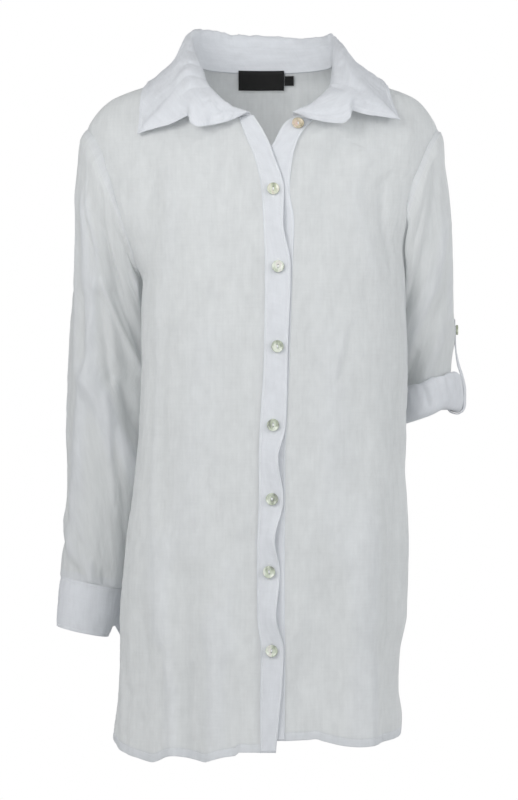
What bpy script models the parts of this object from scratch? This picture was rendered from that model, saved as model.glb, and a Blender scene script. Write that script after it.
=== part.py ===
"""Long linen shirt in the form it has when it is worn, hollow, with no wearer.

Metres, +Z up. The front faces -Y, so -X is the wearer's right and +X the wearer's left. The origin lies
midway between the two neck ends of the shoulder seams, where the shoulders carry the shirt.
"""

import math

import bmesh
import bpy
import numpy as np
from mathutils import Matrix, Vector

# Walls and gaps
CLOTH = 0.0010
DOUBLE_CLOTH = 0.0013
SEAM_GAP = 0.0004
SEAM_REACH = 0.0012
FOLDED_SEAM = 0.0020
PLACKET_STEP = 0.0011
SLEEVE_CLEARANCE = 0.005
LEAF_CLEARANCE = 0.0030

# Heights below the shoulder neck point
UNDERARM_Z = -0.256
SHOULDER_Z = -0.074
SLIT_TOP_Z = -0.662
SIDE_SEAM_ANGLE = 112.0
SLIT_FRONT_SPREAD = 5.0
SLIT_BACK_SPREAD = 3.0

# Rows of the panels below and above the underarm, and steps along the seams
ROWS_BELOW, ROWS_ABOVE = 12, 14
SLEEVE_SIDES = 28
SHOULDER_STEPS, BACK_NECK_STEPS = 7, 10
# Heights of the front's rows beside the placket, from the underarm to the placket's top.
OPENING_LEVELS = (-0.256, -0.215, -0.175, -0.141, -0.114, -0.094, -0.080, -0.0685)

# Buttons
BUTTON_RADIUS = 0.0074
BUTTON_THICKNESS = 0.0024
BUTTON_STAND_OFF = 0.0008
BUTTON_HOLE_RADIUS = 0.0009
BUTTON_HOLE_SPACING = 0.0036
BUTTON_SIDES = 16
HOLE_SIDES = 6
# Rings of the button from its back to its front, as shares of its radius and thickness.
BUTTON_SECTION = ((0.90, 0.0), (1.0, 0.35), (1.0, 0.70), (0.88, 1.0), (0.72, 0.72))

# Level sections of the torso, from the hem up. Half widths are to the wearer's right and left of the middle
# plane, widest_y is where they are reached, and the powers square up the front and the back of the oval.
TORSO_COLUMNS = (
    "z", "half_right", "half_left", "widest_y", "front_y", "back_y", "front_power", "back_power",
)
TORSO = (
    (-0.800, 0.179, 0.158, -0.020, -0.146, 0.142, 2.3, 2.1),
    (-0.760, 0.1745, 0.159, -0.022, -0.144, 0.138, 2.3, 2.1),
    (-0.725, 0.1705, 0.1550, -0.024, -0.142, 0.135, 2.3, 2.1),
    (-0.680, 0.1690, 0.1565, -0.027, -0.141, 0.131, 2.3, 2.0),
    (-0.640, 0.1680, 0.1640, -0.030, -0.140, 0.128, 2.3, 2.0),
    (-0.560, 0.1610, 0.1650, -0.035, -0.138, 0.123, 2.3, 1.9),
    (-0.460, 0.1490, 0.1585, -0.040, -0.136, 0.118, 2.3, 1.8),
    (-0.340, 0.1425, 0.1590, -0.042, -0.135, 0.115, 2.3, 1.7),
    (-0.256, 0.1415, 0.1580, -0.034, -0.131, 0.117, 2.3, 1.8),
    (-0.225, 0.1570, 0.1610, -0.020, -0.127, 0.118, 2.2, 1.9),
    (-0.185, 0.187, 0.178, -0.004, -0.120, 0.118, 2.1, 2.0),
    (-0.150, 0.204, 0.197, 0.006, -0.112, 0.116, 2.0, 2.0),
    (-0.120, 0.2125, 0.206, 0.010, -0.103, 0.113, 2.0, 2.0),
    (-0.092, 0.2125, 0.206, 0.012, -0.092, 0.107, 2.0, 2.0),
    (-0.074, 0.208, 0.202, 0.012, -0.083, 0.102, 2.0, 2.0),
    (-0.057, 0.198, 0.193, 0.012, -0.073, 0.097, 2.0, 2.0),
    (-0.041, 0.181, 0.179, 0.012, -0.062, 0.091, 2.0, 2.0),
    (-0.031, 0.159, 0.159, 0.012, -0.053, 0.086, 2.0, 2.0),
    (-0.0235, 0.136, 0.136, 0.012, -0.046, 0.082, 2.0, 2.0),
    (-0.0115, 0.106, 0.106, 0.012, -0.036, 0.078, 2.0, 2.0),
    (0.000, 0.079, 0.079, 0.012, -0.025, 0.074, 2.0, 2.0),
)

# The armhole seam, from the shoulder point down to the underarm, as angles round the torso from centre front.
ARMHOLE_COLUMNS = ("z", "front_angle", "back_angle")
ARMHOLE_RIGHT = (
    (-0.074, 90.0, 90.0),
    (-0.078, 79.0, 101.0),
    (-0.090, 68.5, 111.0),
    (-0.110, 62.0, 117.0),
    (-0.140, 59.0, 121.0),
    (-0.170, 59.5, 124.0),
    (-0.200, 63.0, 127.0),
    (-0.225, 72.0, 128.0),
    (-0.243, 86.0, 125.0),
    (-0.253, 102.0, 120.0),
    (-0.256, 112.0, 112.0),
)
ARMHOLE_LEFT = (
    (-0.074, 90.0, 90.0),
    (-0.078, 79.0, 101.0),
    (-0.090, 70.0, 111.0),
    (-0.110, 63.0, 117.0),
    (-0.140, 58.0, 121.0),
    (-0.170, 60.0, 124.0),
    (-0.200, 74.0, 127.0),
    (-0.225, 90.0, 128.0),
    (-0.243, 101.0, 125.0),
    (-0.253, 108.0, 120.0),
    (-0.256, 112.0, 112.0),
)

# The hems, from the placket's seam round to the side seam, and the back's from the right side to the left.
HEM_COLUMNS = ("share", "z")
HEM_RIGHT = (
    (0.00, -0.786),
    (0.15, -0.788),
    (0.30, -0.800),
    (0.42, -0.793),
    (0.54, -0.798),
    (0.66, -0.800),
    (0.78, -0.792),
    (0.88, -0.776),
    (0.95, -0.760),
    (1.00, -0.742),
)
HEM_LEFT = (
    (0.00, -0.773),
    (0.20, -0.773),
    (0.40, -0.781),
    (0.55, -0.788),
    (0.68, -0.789),
    (0.79, -0.786),
    (0.88, -0.777),
    (0.95, -0.758),
    (1.00, -0.742),
)
HEM_BACK = (
    (0.00, -0.742),
    (0.025, -0.765),
    (0.08, -0.784),
    (0.20, -0.797),
    (0.35, -0.801),
    (0.50, -0.799),
    (0.65, -0.802),
    (0.80, -0.797),
    (0.92, -0.784),
    (0.975, -0.765),
    (1.00, -0.742),
)

# The front necklines, from the top of the placket's seam to the shoulder neck point.
NECKLINE_COLUMNS = ("z", "right_x", "left_x")
NECKLINE = (
    (-0.0690, 0.0300, 0.0600),
    (-0.0670, 0.0450, 0.0625),
    (-0.0630, 0.0570, 0.0650),
    (-0.0570, 0.0630, 0.0675),
    (-0.0470, 0.0685, 0.0705),
    (-0.0310, 0.0735, 0.0745),
    (-0.0150, 0.0768, 0.0772),
    (0.0000, 0.0790, 0.0790),
)

# The two plackets, from the hem to the open neck. Edges are free, seams join the front. The lift is how far
# the upper placket's free edge stands off between its buttons.
PLACKET_COLUMNS = ("z", "right_edge", "right_seam", "left_edge", "left_seam", "lift")
PLACKETS = (
    (-0.800, 0.0105, -0.0048, -0.0100, 0.0215, 0.000),
    (-0.740, 0.0160, -0.0058, -0.0100, 0.0220, 0.003),
    (-0.704, 0.0191, -0.0054, -0.0100, 0.0225, 0.001),
    (-0.672, 0.0207, -0.0050, -0.0100, 0.0225, 0.000),
    (-0.635, 0.0120, -0.0090, -0.0110, 0.0220, 0.006),
    (-0.584, 0.0165, -0.0092, -0.0110, 0.0220, 0.000),
    (-0.550, 0.0104, -0.0090, -0.0110, 0.0220, 0.007),
    (-0.503, 0.0205, -0.0074, -0.0100, 0.0225, 0.000),
    (-0.458, 0.0142, -0.0076, -0.0100, 0.0225, 0.007),
    (-0.420, 0.0230, -0.0060, -0.0080, 0.0240, 0.000),
    (-0.332, 0.0255, -0.0014, -0.0040, 0.0280, 0.000),
    (-0.242, 0.0286, -0.0006, -0.0020, 0.0310, 0.000),
    (-0.191, 0.0199, -0.0022, 0.0000, 0.0330, 0.004),
    (-0.154, 0.0212, -0.0045, -0.0040, 0.0280, 0.000),
    (-0.116, 0.0100, -0.0125, -0.0010, 0.0315, 0.001),
    (-0.098, 0.0032, -0.0200, 0.0105, 0.0365, 0.002),
    (-0.085, -0.0036, -0.0250, 0.0165, 0.0430, 0.003),
    (-0.074, -0.0104, -0.0285, 0.0240, 0.0520, 0.003),
    (-0.066, -0.0150, -0.0305, 0.0365, 0.0610, 0.003),
)
PLACKET_TOP_Z = -0.0685
FRONT_BUTTONS = (
    (0.0090, -0.1545),
    (0.0142, -0.2425),
    (0.0135, -0.3320),
    (0.0087, -0.4200),
    (0.0074, -0.5030),
    (0.0042, -0.5845),
    (0.0070, -0.6725),
)
NECK_BUTTON = (0.0374, -0.0770)

# The sleeves below the armhole: outer and inner line of each ring, where its middle lies front to back, and
# its half depth. Distances from the middle plane are positive to both sides.
SLEEVE_COLUMNS = ("outer_x", "outer_z", "inner_x", "inner_z", "middle_y", "half_depth")
SLEEVE_RIGHT = (
    (0.2160, -0.087, 0.1330, -0.2600, 0.007, 0.0660),
    (0.2190, -0.112, 0.1335, -0.2655, 0.010, 0.0670),
    (0.2228, -0.148, 0.1340, -0.2730, 0.015, 0.0670),
    (0.2229, -0.190, 0.1345, -0.2830, 0.020, 0.0660),
    (0.2248, -0.235, 0.1345, -0.2970, 0.025, 0.0640),
    (0.2258, -0.280, 0.1345, -0.3170, 0.030, 0.0620),
    (0.2290, -0.325, 0.1345, -0.3430, 0.033, 0.0600),
    (0.2315, -0.380, 0.1360, -0.3850, 0.035, 0.0580),
    (0.2345, -0.435, 0.1390, -0.4320, 0.036, 0.0550),
    (0.2348, -0.490, 0.1450, -0.4850, 0.035, 0.0510),
    (0.2375, -0.540, 0.1530, -0.5380, 0.032, 0.0460),
    (0.2395, -0.575, 0.1620, -0.5800, 0.030, 0.0400),
    (0.2415, -0.598, 0.1705, -0.6145, 0.028, 0.0350),
)
CUFF_RIGHT = (
    (0.2415, -0.5984, 0.1705, -0.6149, 0.028, 0.0350),
    (0.2450, -0.618, 0.1735, -0.6310, 0.027, 0.0345),
    (0.2462, -0.638, 0.1775, -0.6480, 0.026, 0.0335),
    (0.2450, -0.6575, 0.1850, -0.6705, 0.025, 0.0310),
)
SLEEVE_LEFT = (
    (0.2055, -0.088, 0.1400, -0.2600, 0.008, 0.0660),
    (0.2095, -0.112, 0.1410, -0.2650, 0.011, 0.0670),
    (0.2147, -0.148, 0.1420, -0.2720, 0.016, 0.0675),
    (0.2190, -0.190, 0.1430, -0.2820, 0.022, 0.0665),
    (0.2212, -0.235, 0.1440, -0.2950, 0.028, 0.0645),
    (0.2225, -0.278, 0.1465, -0.3160, 0.033, 0.0625),
    (0.2230, -0.318, 0.1510, -0.3450, 0.037, 0.0600),
    (0.2220, -0.3525, 0.1575, -0.3775, 0.042, 0.0562),
    (0.2215, -0.3925, 0.1590, -0.4165, 0.042, 0.0560),
)
ROLL_BASE = (0.2215, -0.3970, 0.1590, -0.4210, 0.042, 0.0560)
# The turned-up end in section: how far out from the sleeve and how far up from the fold.
ROLL_SECTION = (
    (-0.0032, 0.0160),
    (-0.0032, 0.0060),
    (-0.0004, -0.0002),
    (0.0050, -0.0014),
    (0.0100, 0.0020),
    (0.0126, 0.0100),
    (0.0126, 0.0220),
    (0.0112, 0.0340),
    (0.0080, 0.0395),
    (0.0046, 0.0370),
    (0.0040, 0.0260),
)
# The strap's line from its tip, over the roll and up inside the sleeve.
TAB_PATH = (
    (0.2258, -0.2960),
    (0.2258, -0.3090),
    (0.2266, -0.3300),
    (0.2300, -0.3500),
    (0.2345, -0.3640),
    (0.2376, -0.3800),
    (0.2376, -0.3960),
    (0.2350, -0.4050),
    (0.2285, -0.4085),
    (0.2205, -0.4060),
    (0.2155, -0.3950),
    (0.2140, -0.3700),
    (0.2145, -0.3400),
)
TAB_MIDDLE_Y = 0.042
TAB_WIDTH = 0.024

# The collar, from its front end round to centre back, on the wearer's right: share of the neck seam, the top
# of the fold, the crest outside it, the middle of the leaf and its outer edge.
COLLAR_COLUMNS = ("share", "fold", "crest", "middle", "edge")
COLLAR = (
    (0.000, (0.0190, -0.0865, -0.0640), (0.0215, -0.0890, -0.0650), (0.0255, -0.0895, -0.0670),
     (0.0292, -0.0895, -0.0690)),
    (0.085, (0.0340, -0.0860, -0.0595), (0.0375, -0.0905, -0.0640), (0.0410, -0.0920, -0.0690),
     (0.0445, -0.0915, -0.0755)),
    (0.145, (0.0470, -0.0810, -0.0510), (0.0525, -0.0885, -0.0590), (0.0575, -0.0930, -0.0690),
     (0.0620, -0.0930, -0.0797)),
    (0.190, (0.0555, -0.0755, -0.0430), (0.0640, -0.0865, -0.0520), (0.0705, -0.0935, -0.0650),
     (0.0755, -0.0950, -0.0820)),
    (0.235, (0.0610, -0.0695, -0.0375), (0.0740, -0.0845, -0.0460), (0.0815, -0.0925, -0.0600),
     (0.0850, -0.0950, -0.0775)),
    (0.285, (0.0655, -0.0640, -0.0325), (0.0815, -0.0800, -0.0400), (0.0880, -0.0870, -0.0530),
     (0.0885, -0.0850, -0.0685)),
    (0.340, (0.0690, -0.0580, -0.0255), (0.0850, -0.0735, -0.0310), (0.0990, -0.0775, -0.0510),
     (0.1090, -0.0800, -0.0780)),
    (0.395, (0.0715, -0.0500, -0.0170), (0.0855, -0.0635, -0.0190), (0.1110, -0.0650, -0.0460),
     (0.1460, -0.0680, -0.0880)),
    (0.440, (0.0745, -0.0400, -0.0080), (0.0865, -0.0500, -0.0070), (0.1120, -0.0500, -0.0310),
     (0.1430, -0.0490, -0.0610)),
    (0.500, (0.0790, -0.0260, 0.0040), (0.0880, -0.0320, 0.0060), (0.1120, -0.0300, -0.0130),
     (0.1405, -0.0250, -0.0350)),
    (0.565, (0.0830, -0.0060, 0.0170), (0.0900, -0.0090, 0.0190), (0.1110, -0.0060, 0.0000),
     (0.1380, 0.0010, -0.0200)),
    (0.630, (0.0862, 0.0190, 0.0330), (0.0905, 0.0190, 0.0330), (0.1060, 0.0250, 0.0090),
     (0.1300, 0.0350, -0.0140)),
    (0.720, (0.0790, 0.0480, 0.0450), (0.0835, 0.0520, 0.0450), (0.0950, 0.0640, 0.0170),
     (0.1080, 0.0760, -0.0120)),
    (0.795, (0.0590, 0.0700, 0.0455), (0.0620, 0.0745, 0.0445), (0.0700, 0.0860, 0.0190),
     (0.0790, 0.0970, -0.0120)),
    (0.895, (0.0310, 0.0840, 0.0425), (0.0320, 0.0885, 0.0415), (0.0350, 0.0990, 0.0180),
     (0.0380, 0.1080, -0.0120)),
    (1.000, (0.0000, 0.0880, 0.0425), (0.0000, 0.0925, 0.0415), (0.0000, 0.1030, 0.0190),
     (0.0000, 0.1110, -0.0120)),
)
# On the wearer's left the front of the collar lies further out, and its edge higher.
COLLAR_LEFT_COLUMNS = ("share", "out", "up", "fold_up")
COLLAR_LEFT = (
    (0.000, 0.0125, 0.0010, 0.0000),
    (0.145, 0.0120, 0.0025, 0.0000),
    (0.235, 0.0120, 0.0060, 0.0000),
    (0.285, 0.0120, 0.0060, 0.0000),
    (0.340, 0.0120, 0.0115, 0.0000),
    (0.395, 0.0100, 0.0180, 0.0000),
    (0.440, 0.0070, 0.0080, 0.0000),
    (0.500, 0.0020, 0.0050, 0.0000),
    (0.565, -0.0020, 0.0020, 0.0000),
    (0.630, -0.0045, 0.0000, -0.0020),
    (0.720, -0.0040, 0.0000, -0.0050),
    (0.795, -0.0020, 0.0000, -0.0060),
    (0.895, 0.0000, 0.0000, -0.0020),
    (1.000, 0.0000, 0.0000, 0.0000),
)
# How much of each rise the lines take: the fold, the crest, the middle and the edge.
COLLAR_LEFT_RISE = (0.0, 0.1, 0.5, 1.0)
COLLAR_LEFT_FOLD_RISE = (1.0, 1.0, 0.4, 0.0)
STAND_SHARE = 0.26
STAND_FOOT = 0.0018
STAND_LEAST_DROP = 0.0055
STAND_SEAM_GAP = 0.0012

# Folds as ridges and troughs: start and end, half width and height, all in metres on the cloth. On the torso
# the first number is the distance round from centre front, the second the height.
FOLD_COLUMNS = ("start_u", "start_v", "end_u", "end_v", "width", "height")
FRONT_RIGHT_FOLDS = (
    (0.115, -0.790, 0.118, -0.560, 0.016, 0.0060),
    (0.078, -0.800, 0.085, -0.600, 0.018, -0.0055),
    (0.048, -0.800, 0.050, -0.640, 0.013, 0.0045),
    (0.150, -0.800, 0.150, -0.640, 0.016, -0.0045),
    (0.040, -0.085, 0.052, -0.200, 0.018, -0.0045),
    (0.085, -0.560, 0.070, -0.330, 0.022, 0.0025),
)
FRONT_LEFT_FOLDS = (
    (0.045, -0.790, 0.050, -0.620, 0.020, -0.0060),
    (0.090, -0.790, 0.095, -0.560, 0.020, 0.0050),
    (0.140, -0.790, 0.148, -0.400, 0.018, -0.0045),
    (0.172, -0.560, 0.172, -0.250, 0.014, 0.0035),
    (0.045, -0.090, 0.040, -0.170, 0.016, -0.0045),
    (0.065, -0.560, 0.045, -0.330, 0.020, 0.0025),
)
BACK_FOLDS = (
    (-0.150, -0.800, -0.120, -0.420, 0.018, 0.0060),
    (-0.090, -0.800, -0.080, -0.500, 0.020, -0.0055),
    (-0.035, -0.800, -0.030, -0.300, 0.018, 0.0065),
    (0.030, -0.800, 0.020, -0.450, 0.018, -0.0060),
    (0.080, -0.800, 0.070, -0.380, 0.020, 0.0060),
    (0.140, -0.800, 0.115, -0.480, 0.018, -0.0050),
    (0.100, -0.180, 0.140, -0.300, 0.018, 0.0040),
    (-0.100, -0.190, -0.145, -0.300, 0.018, 0.0040),
)
# On a sleeve the first number is the angle round it, 0 outside and 90 in front, the second the distance down.
# The angles are turned into distances with this radius.
FOLD_RADIUS = 0.058
SLEEVE_RIGHT_FOLDS = (
    (55.0, 0.060, 60.0, 0.220, 0.012, 0.0050),
    (60.0, 0.215, 130.0, 0.340, 0.013, 0.0070),
    (100.0, 0.090, 118.0, 0.260, 0.014, -0.0070),
    (50.0, 0.220, 28.0, 0.420, 0.011, 0.0055),
    (75.0, 0.330, 78.0, 0.500, 0.013, -0.0055),
    (100.0, 0.400, 96.0, 0.510, 0.011, 0.0045),
    (40.0, 0.440, 48.0, 0.515, 0.010, -0.0045),
    (300.0, 0.100, 240.0, 0.240, 0.014, 0.0060),
    (310.0, 0.250, 260.0, 0.400, 0.013, -0.0060),
    (285.0, 0.380, 290.0, 0.510, 0.012, 0.0050),
    (215.0, 0.120, 225.0, 0.300, 0.013, -0.0050),
)
SLEEVE_LEFT_FOLDS = (
    (70.0, 0.030, 120.0, 0.120, 0.015, -0.0080),
    (50.0, 0.080, 115.0, 0.190, 0.012, 0.0060),
    (60.0, 0.150, 130.0, 0.240, 0.012, -0.0065),
    (35.0, 0.130, 95.0, 0.260, 0.011, 0.0045),
    (300.0, 0.060, 235.0, 0.170, 0.014, 0.0060),
    (310.0, 0.150, 250.0, 0.260, 0.012, -0.0060),
)

# Colours of the finished pieces
LINEN = (0.80, 0.81, 0.82, 1.0)
SHELL = (0.72, 0.73, 0.62, 1.0)
LABEL_BLACK = (0.015, 0.015, 0.018, 1.0)


def named(table, columns):
    """The table's columns as arrays, by name."""
    values = np.array(table, float)
    return {name: values[:, i] for i, name in enumerate(columns)}


def smooth(knots, values, at):
    """A smooth curve through values at rising knots, with no overshoot between them."""
    knots, values, at = np.asarray(knots, float), np.asarray(values, float), np.asarray(at, float)
    steps = np.diff(knots)
    slopes = np.diff(values) / steps
    tangents = np.zeros(len(knots))
    same = slopes[:-1] * slopes[1:] > 0
    inner = np.zeros(len(slopes) - 1)
    inner[same] = 2 * slopes[:-1][same] * slopes[1:][same] / (slopes[:-1][same] + slopes[1:][same])
    tangents[1:-1] = inner
    tangents[0], tangents[-1] = slopes[0], slopes[-1]
    i = np.clip(np.searchsorted(knots, at, side="right") - 1, 0, len(steps) - 1)
    w = np.clip((at - knots[i]) / steps[i], 0, 1)
    rise = values[i + 1] - values[i]
    cubic = w * w * (3 - 2 * w) * rise
    ease_out = w * (1 - w) ** 2 * tangents[i] * steps[i]
    ease_in = w * w * (w - 1) * tangents[i + 1] * steps[i]
    return values[i] + cubic + ease_out + ease_in


def lengths_along(points):
    """Distance from the first point to each of them, along the line that joins them."""
    steps = np.linalg.norm(np.diff(points, axis=0), axis=1)
    return np.concatenate([[0.0], np.cumsum(steps)])


def along_curve(points, shares):
    """Points at these shares of the length of a line through points."""
    run = lengths_along(points)
    run = run / run[-1]
    return np.stack([np.interp(shares, run, points[:, k]) for k in range(points.shape[1])], axis=1)


torso_rows = named(TORSO, TORSO_COLUMNS)


def torso_size(column, z):
    return smooth(torso_rows["z"], torso_rows[column], z)


def torso_point(angle, z):
    """The point of the torso's oval at this height, this many degrees round from centre front."""
    angle, z = np.broadcast_arrays(np.asarray(angle, float), np.asarray(z, float))
    turn = np.radians(angle)
    across, ahead = np.sin(turn), np.cos(turn)
    half = np.where(across < 0, torso_size("half_right", z), torso_size("half_left", z))
    widest = torso_size("widest_y", z)
    in_front = ahead > 0
    power = np.where(in_front, torso_size("front_power", z), torso_size("back_power", z))
    depth = np.where(in_front, torso_size("front_y", z), torso_size("back_y", z)) - widest
    reach = (np.abs(across) ** power + np.abs(ahead) ** power) ** (-1 / power)
    return np.stack([half * across * reach, widest + depth * np.abs(ahead) * reach, z], axis=-1)


def front_angle(x, z):
    """The angle round the torso at which its front is this far from the middle plane."""
    x, z = np.asarray(x, float), np.asarray(z, float)
    half = np.where(x < 0, torso_size("half_right", z), torso_size("half_left", z))
    power = torso_size("front_power", z)
    across = np.clip(np.abs(x) / half, 0, 1)
    ahead = (1 - across**power) ** (1 / power)
    return np.degrees(np.arctan2(np.sign(x) * across, ahead))


def ruled_grid(bottom, top, left, right):
    """Fills the patch between four edges of (angle, height) pairs, rows from bottom to top."""
    u = np.linspace(0, 1, len(bottom))[None, :, None]
    v = np.linspace(0, 1, len(left))[:, None, None]
    sides = (1 - u) * left[:, None, :] + u * right[:, None, :]
    ends = (1 - v) * bottom[None, :, :] + v * top[None, :, :]
    corners = (
        (1 - u) * (1 - v) * bottom[0] + u * (1 - v) * bottom[-1] + (1 - u) * v * top[0] + u * v * top[-1]
    )
    return sides + ends - corners


def normals_of(grid, around=False):
    """Unit normals of a grid of points. A grid that closes on itself has around set."""
    if around:
        across = np.roll(grid, -1, axis=1) - np.roll(grid, 1, axis=1)
    else:
        across = np.gradient(grid, axis=1)
    normal = np.cross(across, np.gradient(grid, axis=0))
    return normal / np.maximum(np.linalg.norm(normal, axis=2, keepdims=True), 1e-12)


def ridge(u, v, start_u, start_v, end_u, end_v, width, height):
    """Height of one fold at points (u, v): a soft ridge on the line from start to end, faded at its ends."""
    along_u, along_v = end_u - start_u, end_v - start_v
    length = math.hypot(along_u, along_v)
    run = ((u - start_u) * along_u + (v - start_v) * along_v) / length
    off = ((u - start_u) * along_v - (v - start_v) * along_u) / length
    beyond = np.maximum(np.maximum(-run, run - length), 0)
    return height * np.exp(-((off / width) ** 2) - (beyond / (1.5 * width)) ** 2)


def material(name, colour, roughness):
    made = bpy.data.materials.get(name) or bpy.data.materials.new(name)
    made.use_nodes = True
    shader = made.node_tree.nodes["Principled BSDF"]
    shader.inputs["Base Color"].default_value = colour
    shader.inputs["Roughness"].default_value = roughness
    shader.inputs["Metallic"].default_value = 0.0
    return made


def linen():
    return material("linen", LINEN, 0.85)


def add_object(name, mesh, finish):
    mesh.materials.append(finish)
    mesh.shade_smooth()
    mesh.set_sharp_from_angle(angle=math.radians(40))
    made = bpy.data.objects.new(name, mesh)
    bpy.context.scene.collection.objects.link(made)
    return made


def cloth_panel(name, grid, wall=CLOTH, around=False, finish=None):
    """A wall of cloth whose middle is a grid of points. A grid that closes on itself has around set."""
    rows, columns = grid.shape[:2]
    last = columns if around else columns - 1
    faces = []
    for i in range(rows - 1):
        for j in range(last):
            k = (j + 1) % columns
            faces.append((i * columns + j, i * columns + k, (i + 1) * columns + k, (i + 1) * columns + j))
    mesh = bpy.data.meshes.new(name)
    mesh.from_pydata([tuple(p) for p in grid.reshape(-1, 3)], [], faces)
    panel = add_object(name, mesh, finish or linen())
    thicken = panel.modifiers.new("wall", "SOLIDIFY")
    thicken.thickness = wall
    thicken.offset = 0.0
    thicken.use_even_offset = False
    return panel


def armhole(table, side, shares, behind):
    """(angle, height) pairs on the armhole's front or back edge, at shares of its length from the underarm."""
    rows = named(table[::-1], ARMHOLE_COLUMNS)
    angles = side * (rows["back_angle"] if behind else rows["front_angle"])
    pairs = np.stack([angles, rows["z"]], axis=1)
    steps = np.linspace(0, 1, 8 * len(pairs))
    knots = np.linspace(0, 1, len(pairs))
    fine = np.stack([smooth(knots, pairs[:, k], steps) for k in range(2)], axis=1)
    run = lengths_along(torso_point(fine[:, 0], fine[:, 1]))
    return np.stack([np.interp(shares, run / run[-1], fine[:, k]) for k in range(2)], axis=1)


def depth_outside(points):
    """How far outside the torso's oval points lie, as a share of its size, below 0 when inside."""
    x, y, z = np.moveaxis(points, -1, 0)
    half = np.where(x < 0, torso_size("half_right", z), torso_size("half_left", z))
    widest = torso_size("widest_y", z)
    in_front = y < widest
    power = np.where(in_front, torso_size("front_power", z), torso_size("back_power", z))
    depth = np.abs(np.where(in_front, torso_size("front_y", z), torso_size("back_y", z)) - widest)
    size = (np.abs(x / half) ** power + np.abs((y - widest) / depth) ** power) ** (1 / power)
    return size - 1


def keep_clear(points, gap):
    """Moves points that lie nearer to the torso than the gap straight out to it."""
    points = points.copy()
    gap = np.broadcast_to(gap, points.shape[:-1])
    step = 0.0005
    for _ in range(4):
        here = depth_outside(points)
        slope = np.stack([(depth_outside(points + step * axis) - here) / step for axis in np.eye(3)], axis=-1)
        steepness = np.maximum(np.linalg.norm(slope, axis=-1), 1e-6)
        short = np.clip(gap - here / steepness, 0, 0.02)
        points += slope / steepness[..., None] * short[..., None]
    return points


def side_edge(table, side, hem_z, behind):
    """The side seam up to the underarm, then the armhole up to the shoulder point."""
    seam_z = np.linspace(hem_z, UNDERARM_Z, ROWS_BELOW + 1)
    opened = np.clip((SLIT_TOP_Z - seam_z) / 0.10, 0, 1) ** 2
    spread = SLIT_BACK_SPREAD if behind else -SLIT_FRONT_SPREAD
    seam = np.stack([side * (SIDE_SEAM_ANGLE + spread * opened), seam_z], axis=1)
    hole = armhole(table, side, np.linspace(0, 1, ROWS_ABOVE + 1), behind)
    return np.concatenate([seam, hole[1:]])


def placket_size(column, z):
    rows = named(PLACKETS, PLACKET_COLUMNS)
    return smooth(rows["z"], rows[column], z)


def neckline(side, count):
    """(angle, height) pairs along one front's neckline, from the placket's seam to the shoulder seam."""
    rows = named(NECKLINE, NECKLINE_COLUMNS)
    z = np.linspace(rows["z"][0], 0.0, count)
    x = side * smooth(rows["z"], rows["left_x" if side > 0 else "right_x"], z)
    angles = front_angle(x, z)
    angles[-1] = side * 90.0
    return np.stack([angles, z], axis=1)


def placket_edge(side, hem_z):
    """The front's edge along its placket, then its neckline, up to the shoulder neck point."""
    column = "left_seam" if side > 0 else "right_seam"
    below = np.linspace(hem_z, UNDERARM_Z, ROWS_BELOW + 1)
    z = np.concatenate([below, OPENING_LEVELS[1:]])
    seam = np.stack([front_angle(placket_size(column, z), z), z], axis=1)
    neck = neckline(side, 80)
    run = lengths_along(torso_point(neck[:, 0], neck[:, 1]))
    steps = ROWS_ABOVE - len(OPENING_LEVELS) + 1
    shares = np.linspace(0, 1, steps + 1)[1:]
    picked = np.stack([np.interp(shares, run / run[-1], neck[:, k]) for k in range(2)], axis=1)
    return np.concatenate([seam, picked])


def shoulder_seam(side, split):
    """(angle, height) pairs from the shoulder neck point out to the shoulder point, each step split."""
    z = np.linspace(0.0, SHOULDER_Z, 60)
    line = torso_point(np.full(60, side * 90.0), z)
    run = lengths_along(line)
    picked = np.interp(np.linspace(0, 1, SHOULDER_STEPS + 1), run / run[-1], z)
    at = np.linspace(0, SHOULDER_STEPS, SHOULDER_STEPS * split + 1)
    fine = np.interp(at, np.arange(SHOULDER_STEPS + 1), picked)
    return np.stack([np.full(len(fine), side * 90.0), fine], axis=1)


def cloth_distances(grid):
    """How far each point lies round the torso from the row's start."""
    steps = np.linalg.norm(np.diff(grid, axis=1), axis=2)
    return np.concatenate([np.zeros((len(grid), 1)), np.cumsum(steps, axis=1)], axis=1)


def fold_heights(folds, run, height):
    total = np.zeros(run.shape)
    for fold in folds:
        total += ridge(run, height, **dict(zip(FOLD_COLUMNS, fold)))
    return total


def gap_at_edges(grid, edges):
    """Draws the named edges in by half the seam's gap."""
    for edge in edges:
        view = {"start": grid, "end": grid[:, ::-1], "bottom": grid.transpose(1, 0, 2),
                "top": grid.transpose(1, 0, 2)[:, ::-1]}[edge]
        along = np.gradient(view[:, 0], axis=0)
        along /= np.linalg.norm(along, axis=1, keepdims=True)
        step = view[:, 1] - view[:, 0]
        step -= along * np.sum(step * along, axis=1, keepdims=True)
        view[:, 0] += SEAM_GAP / 2 * step / np.linalg.norm(step, axis=1, keepdims=True)


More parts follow.
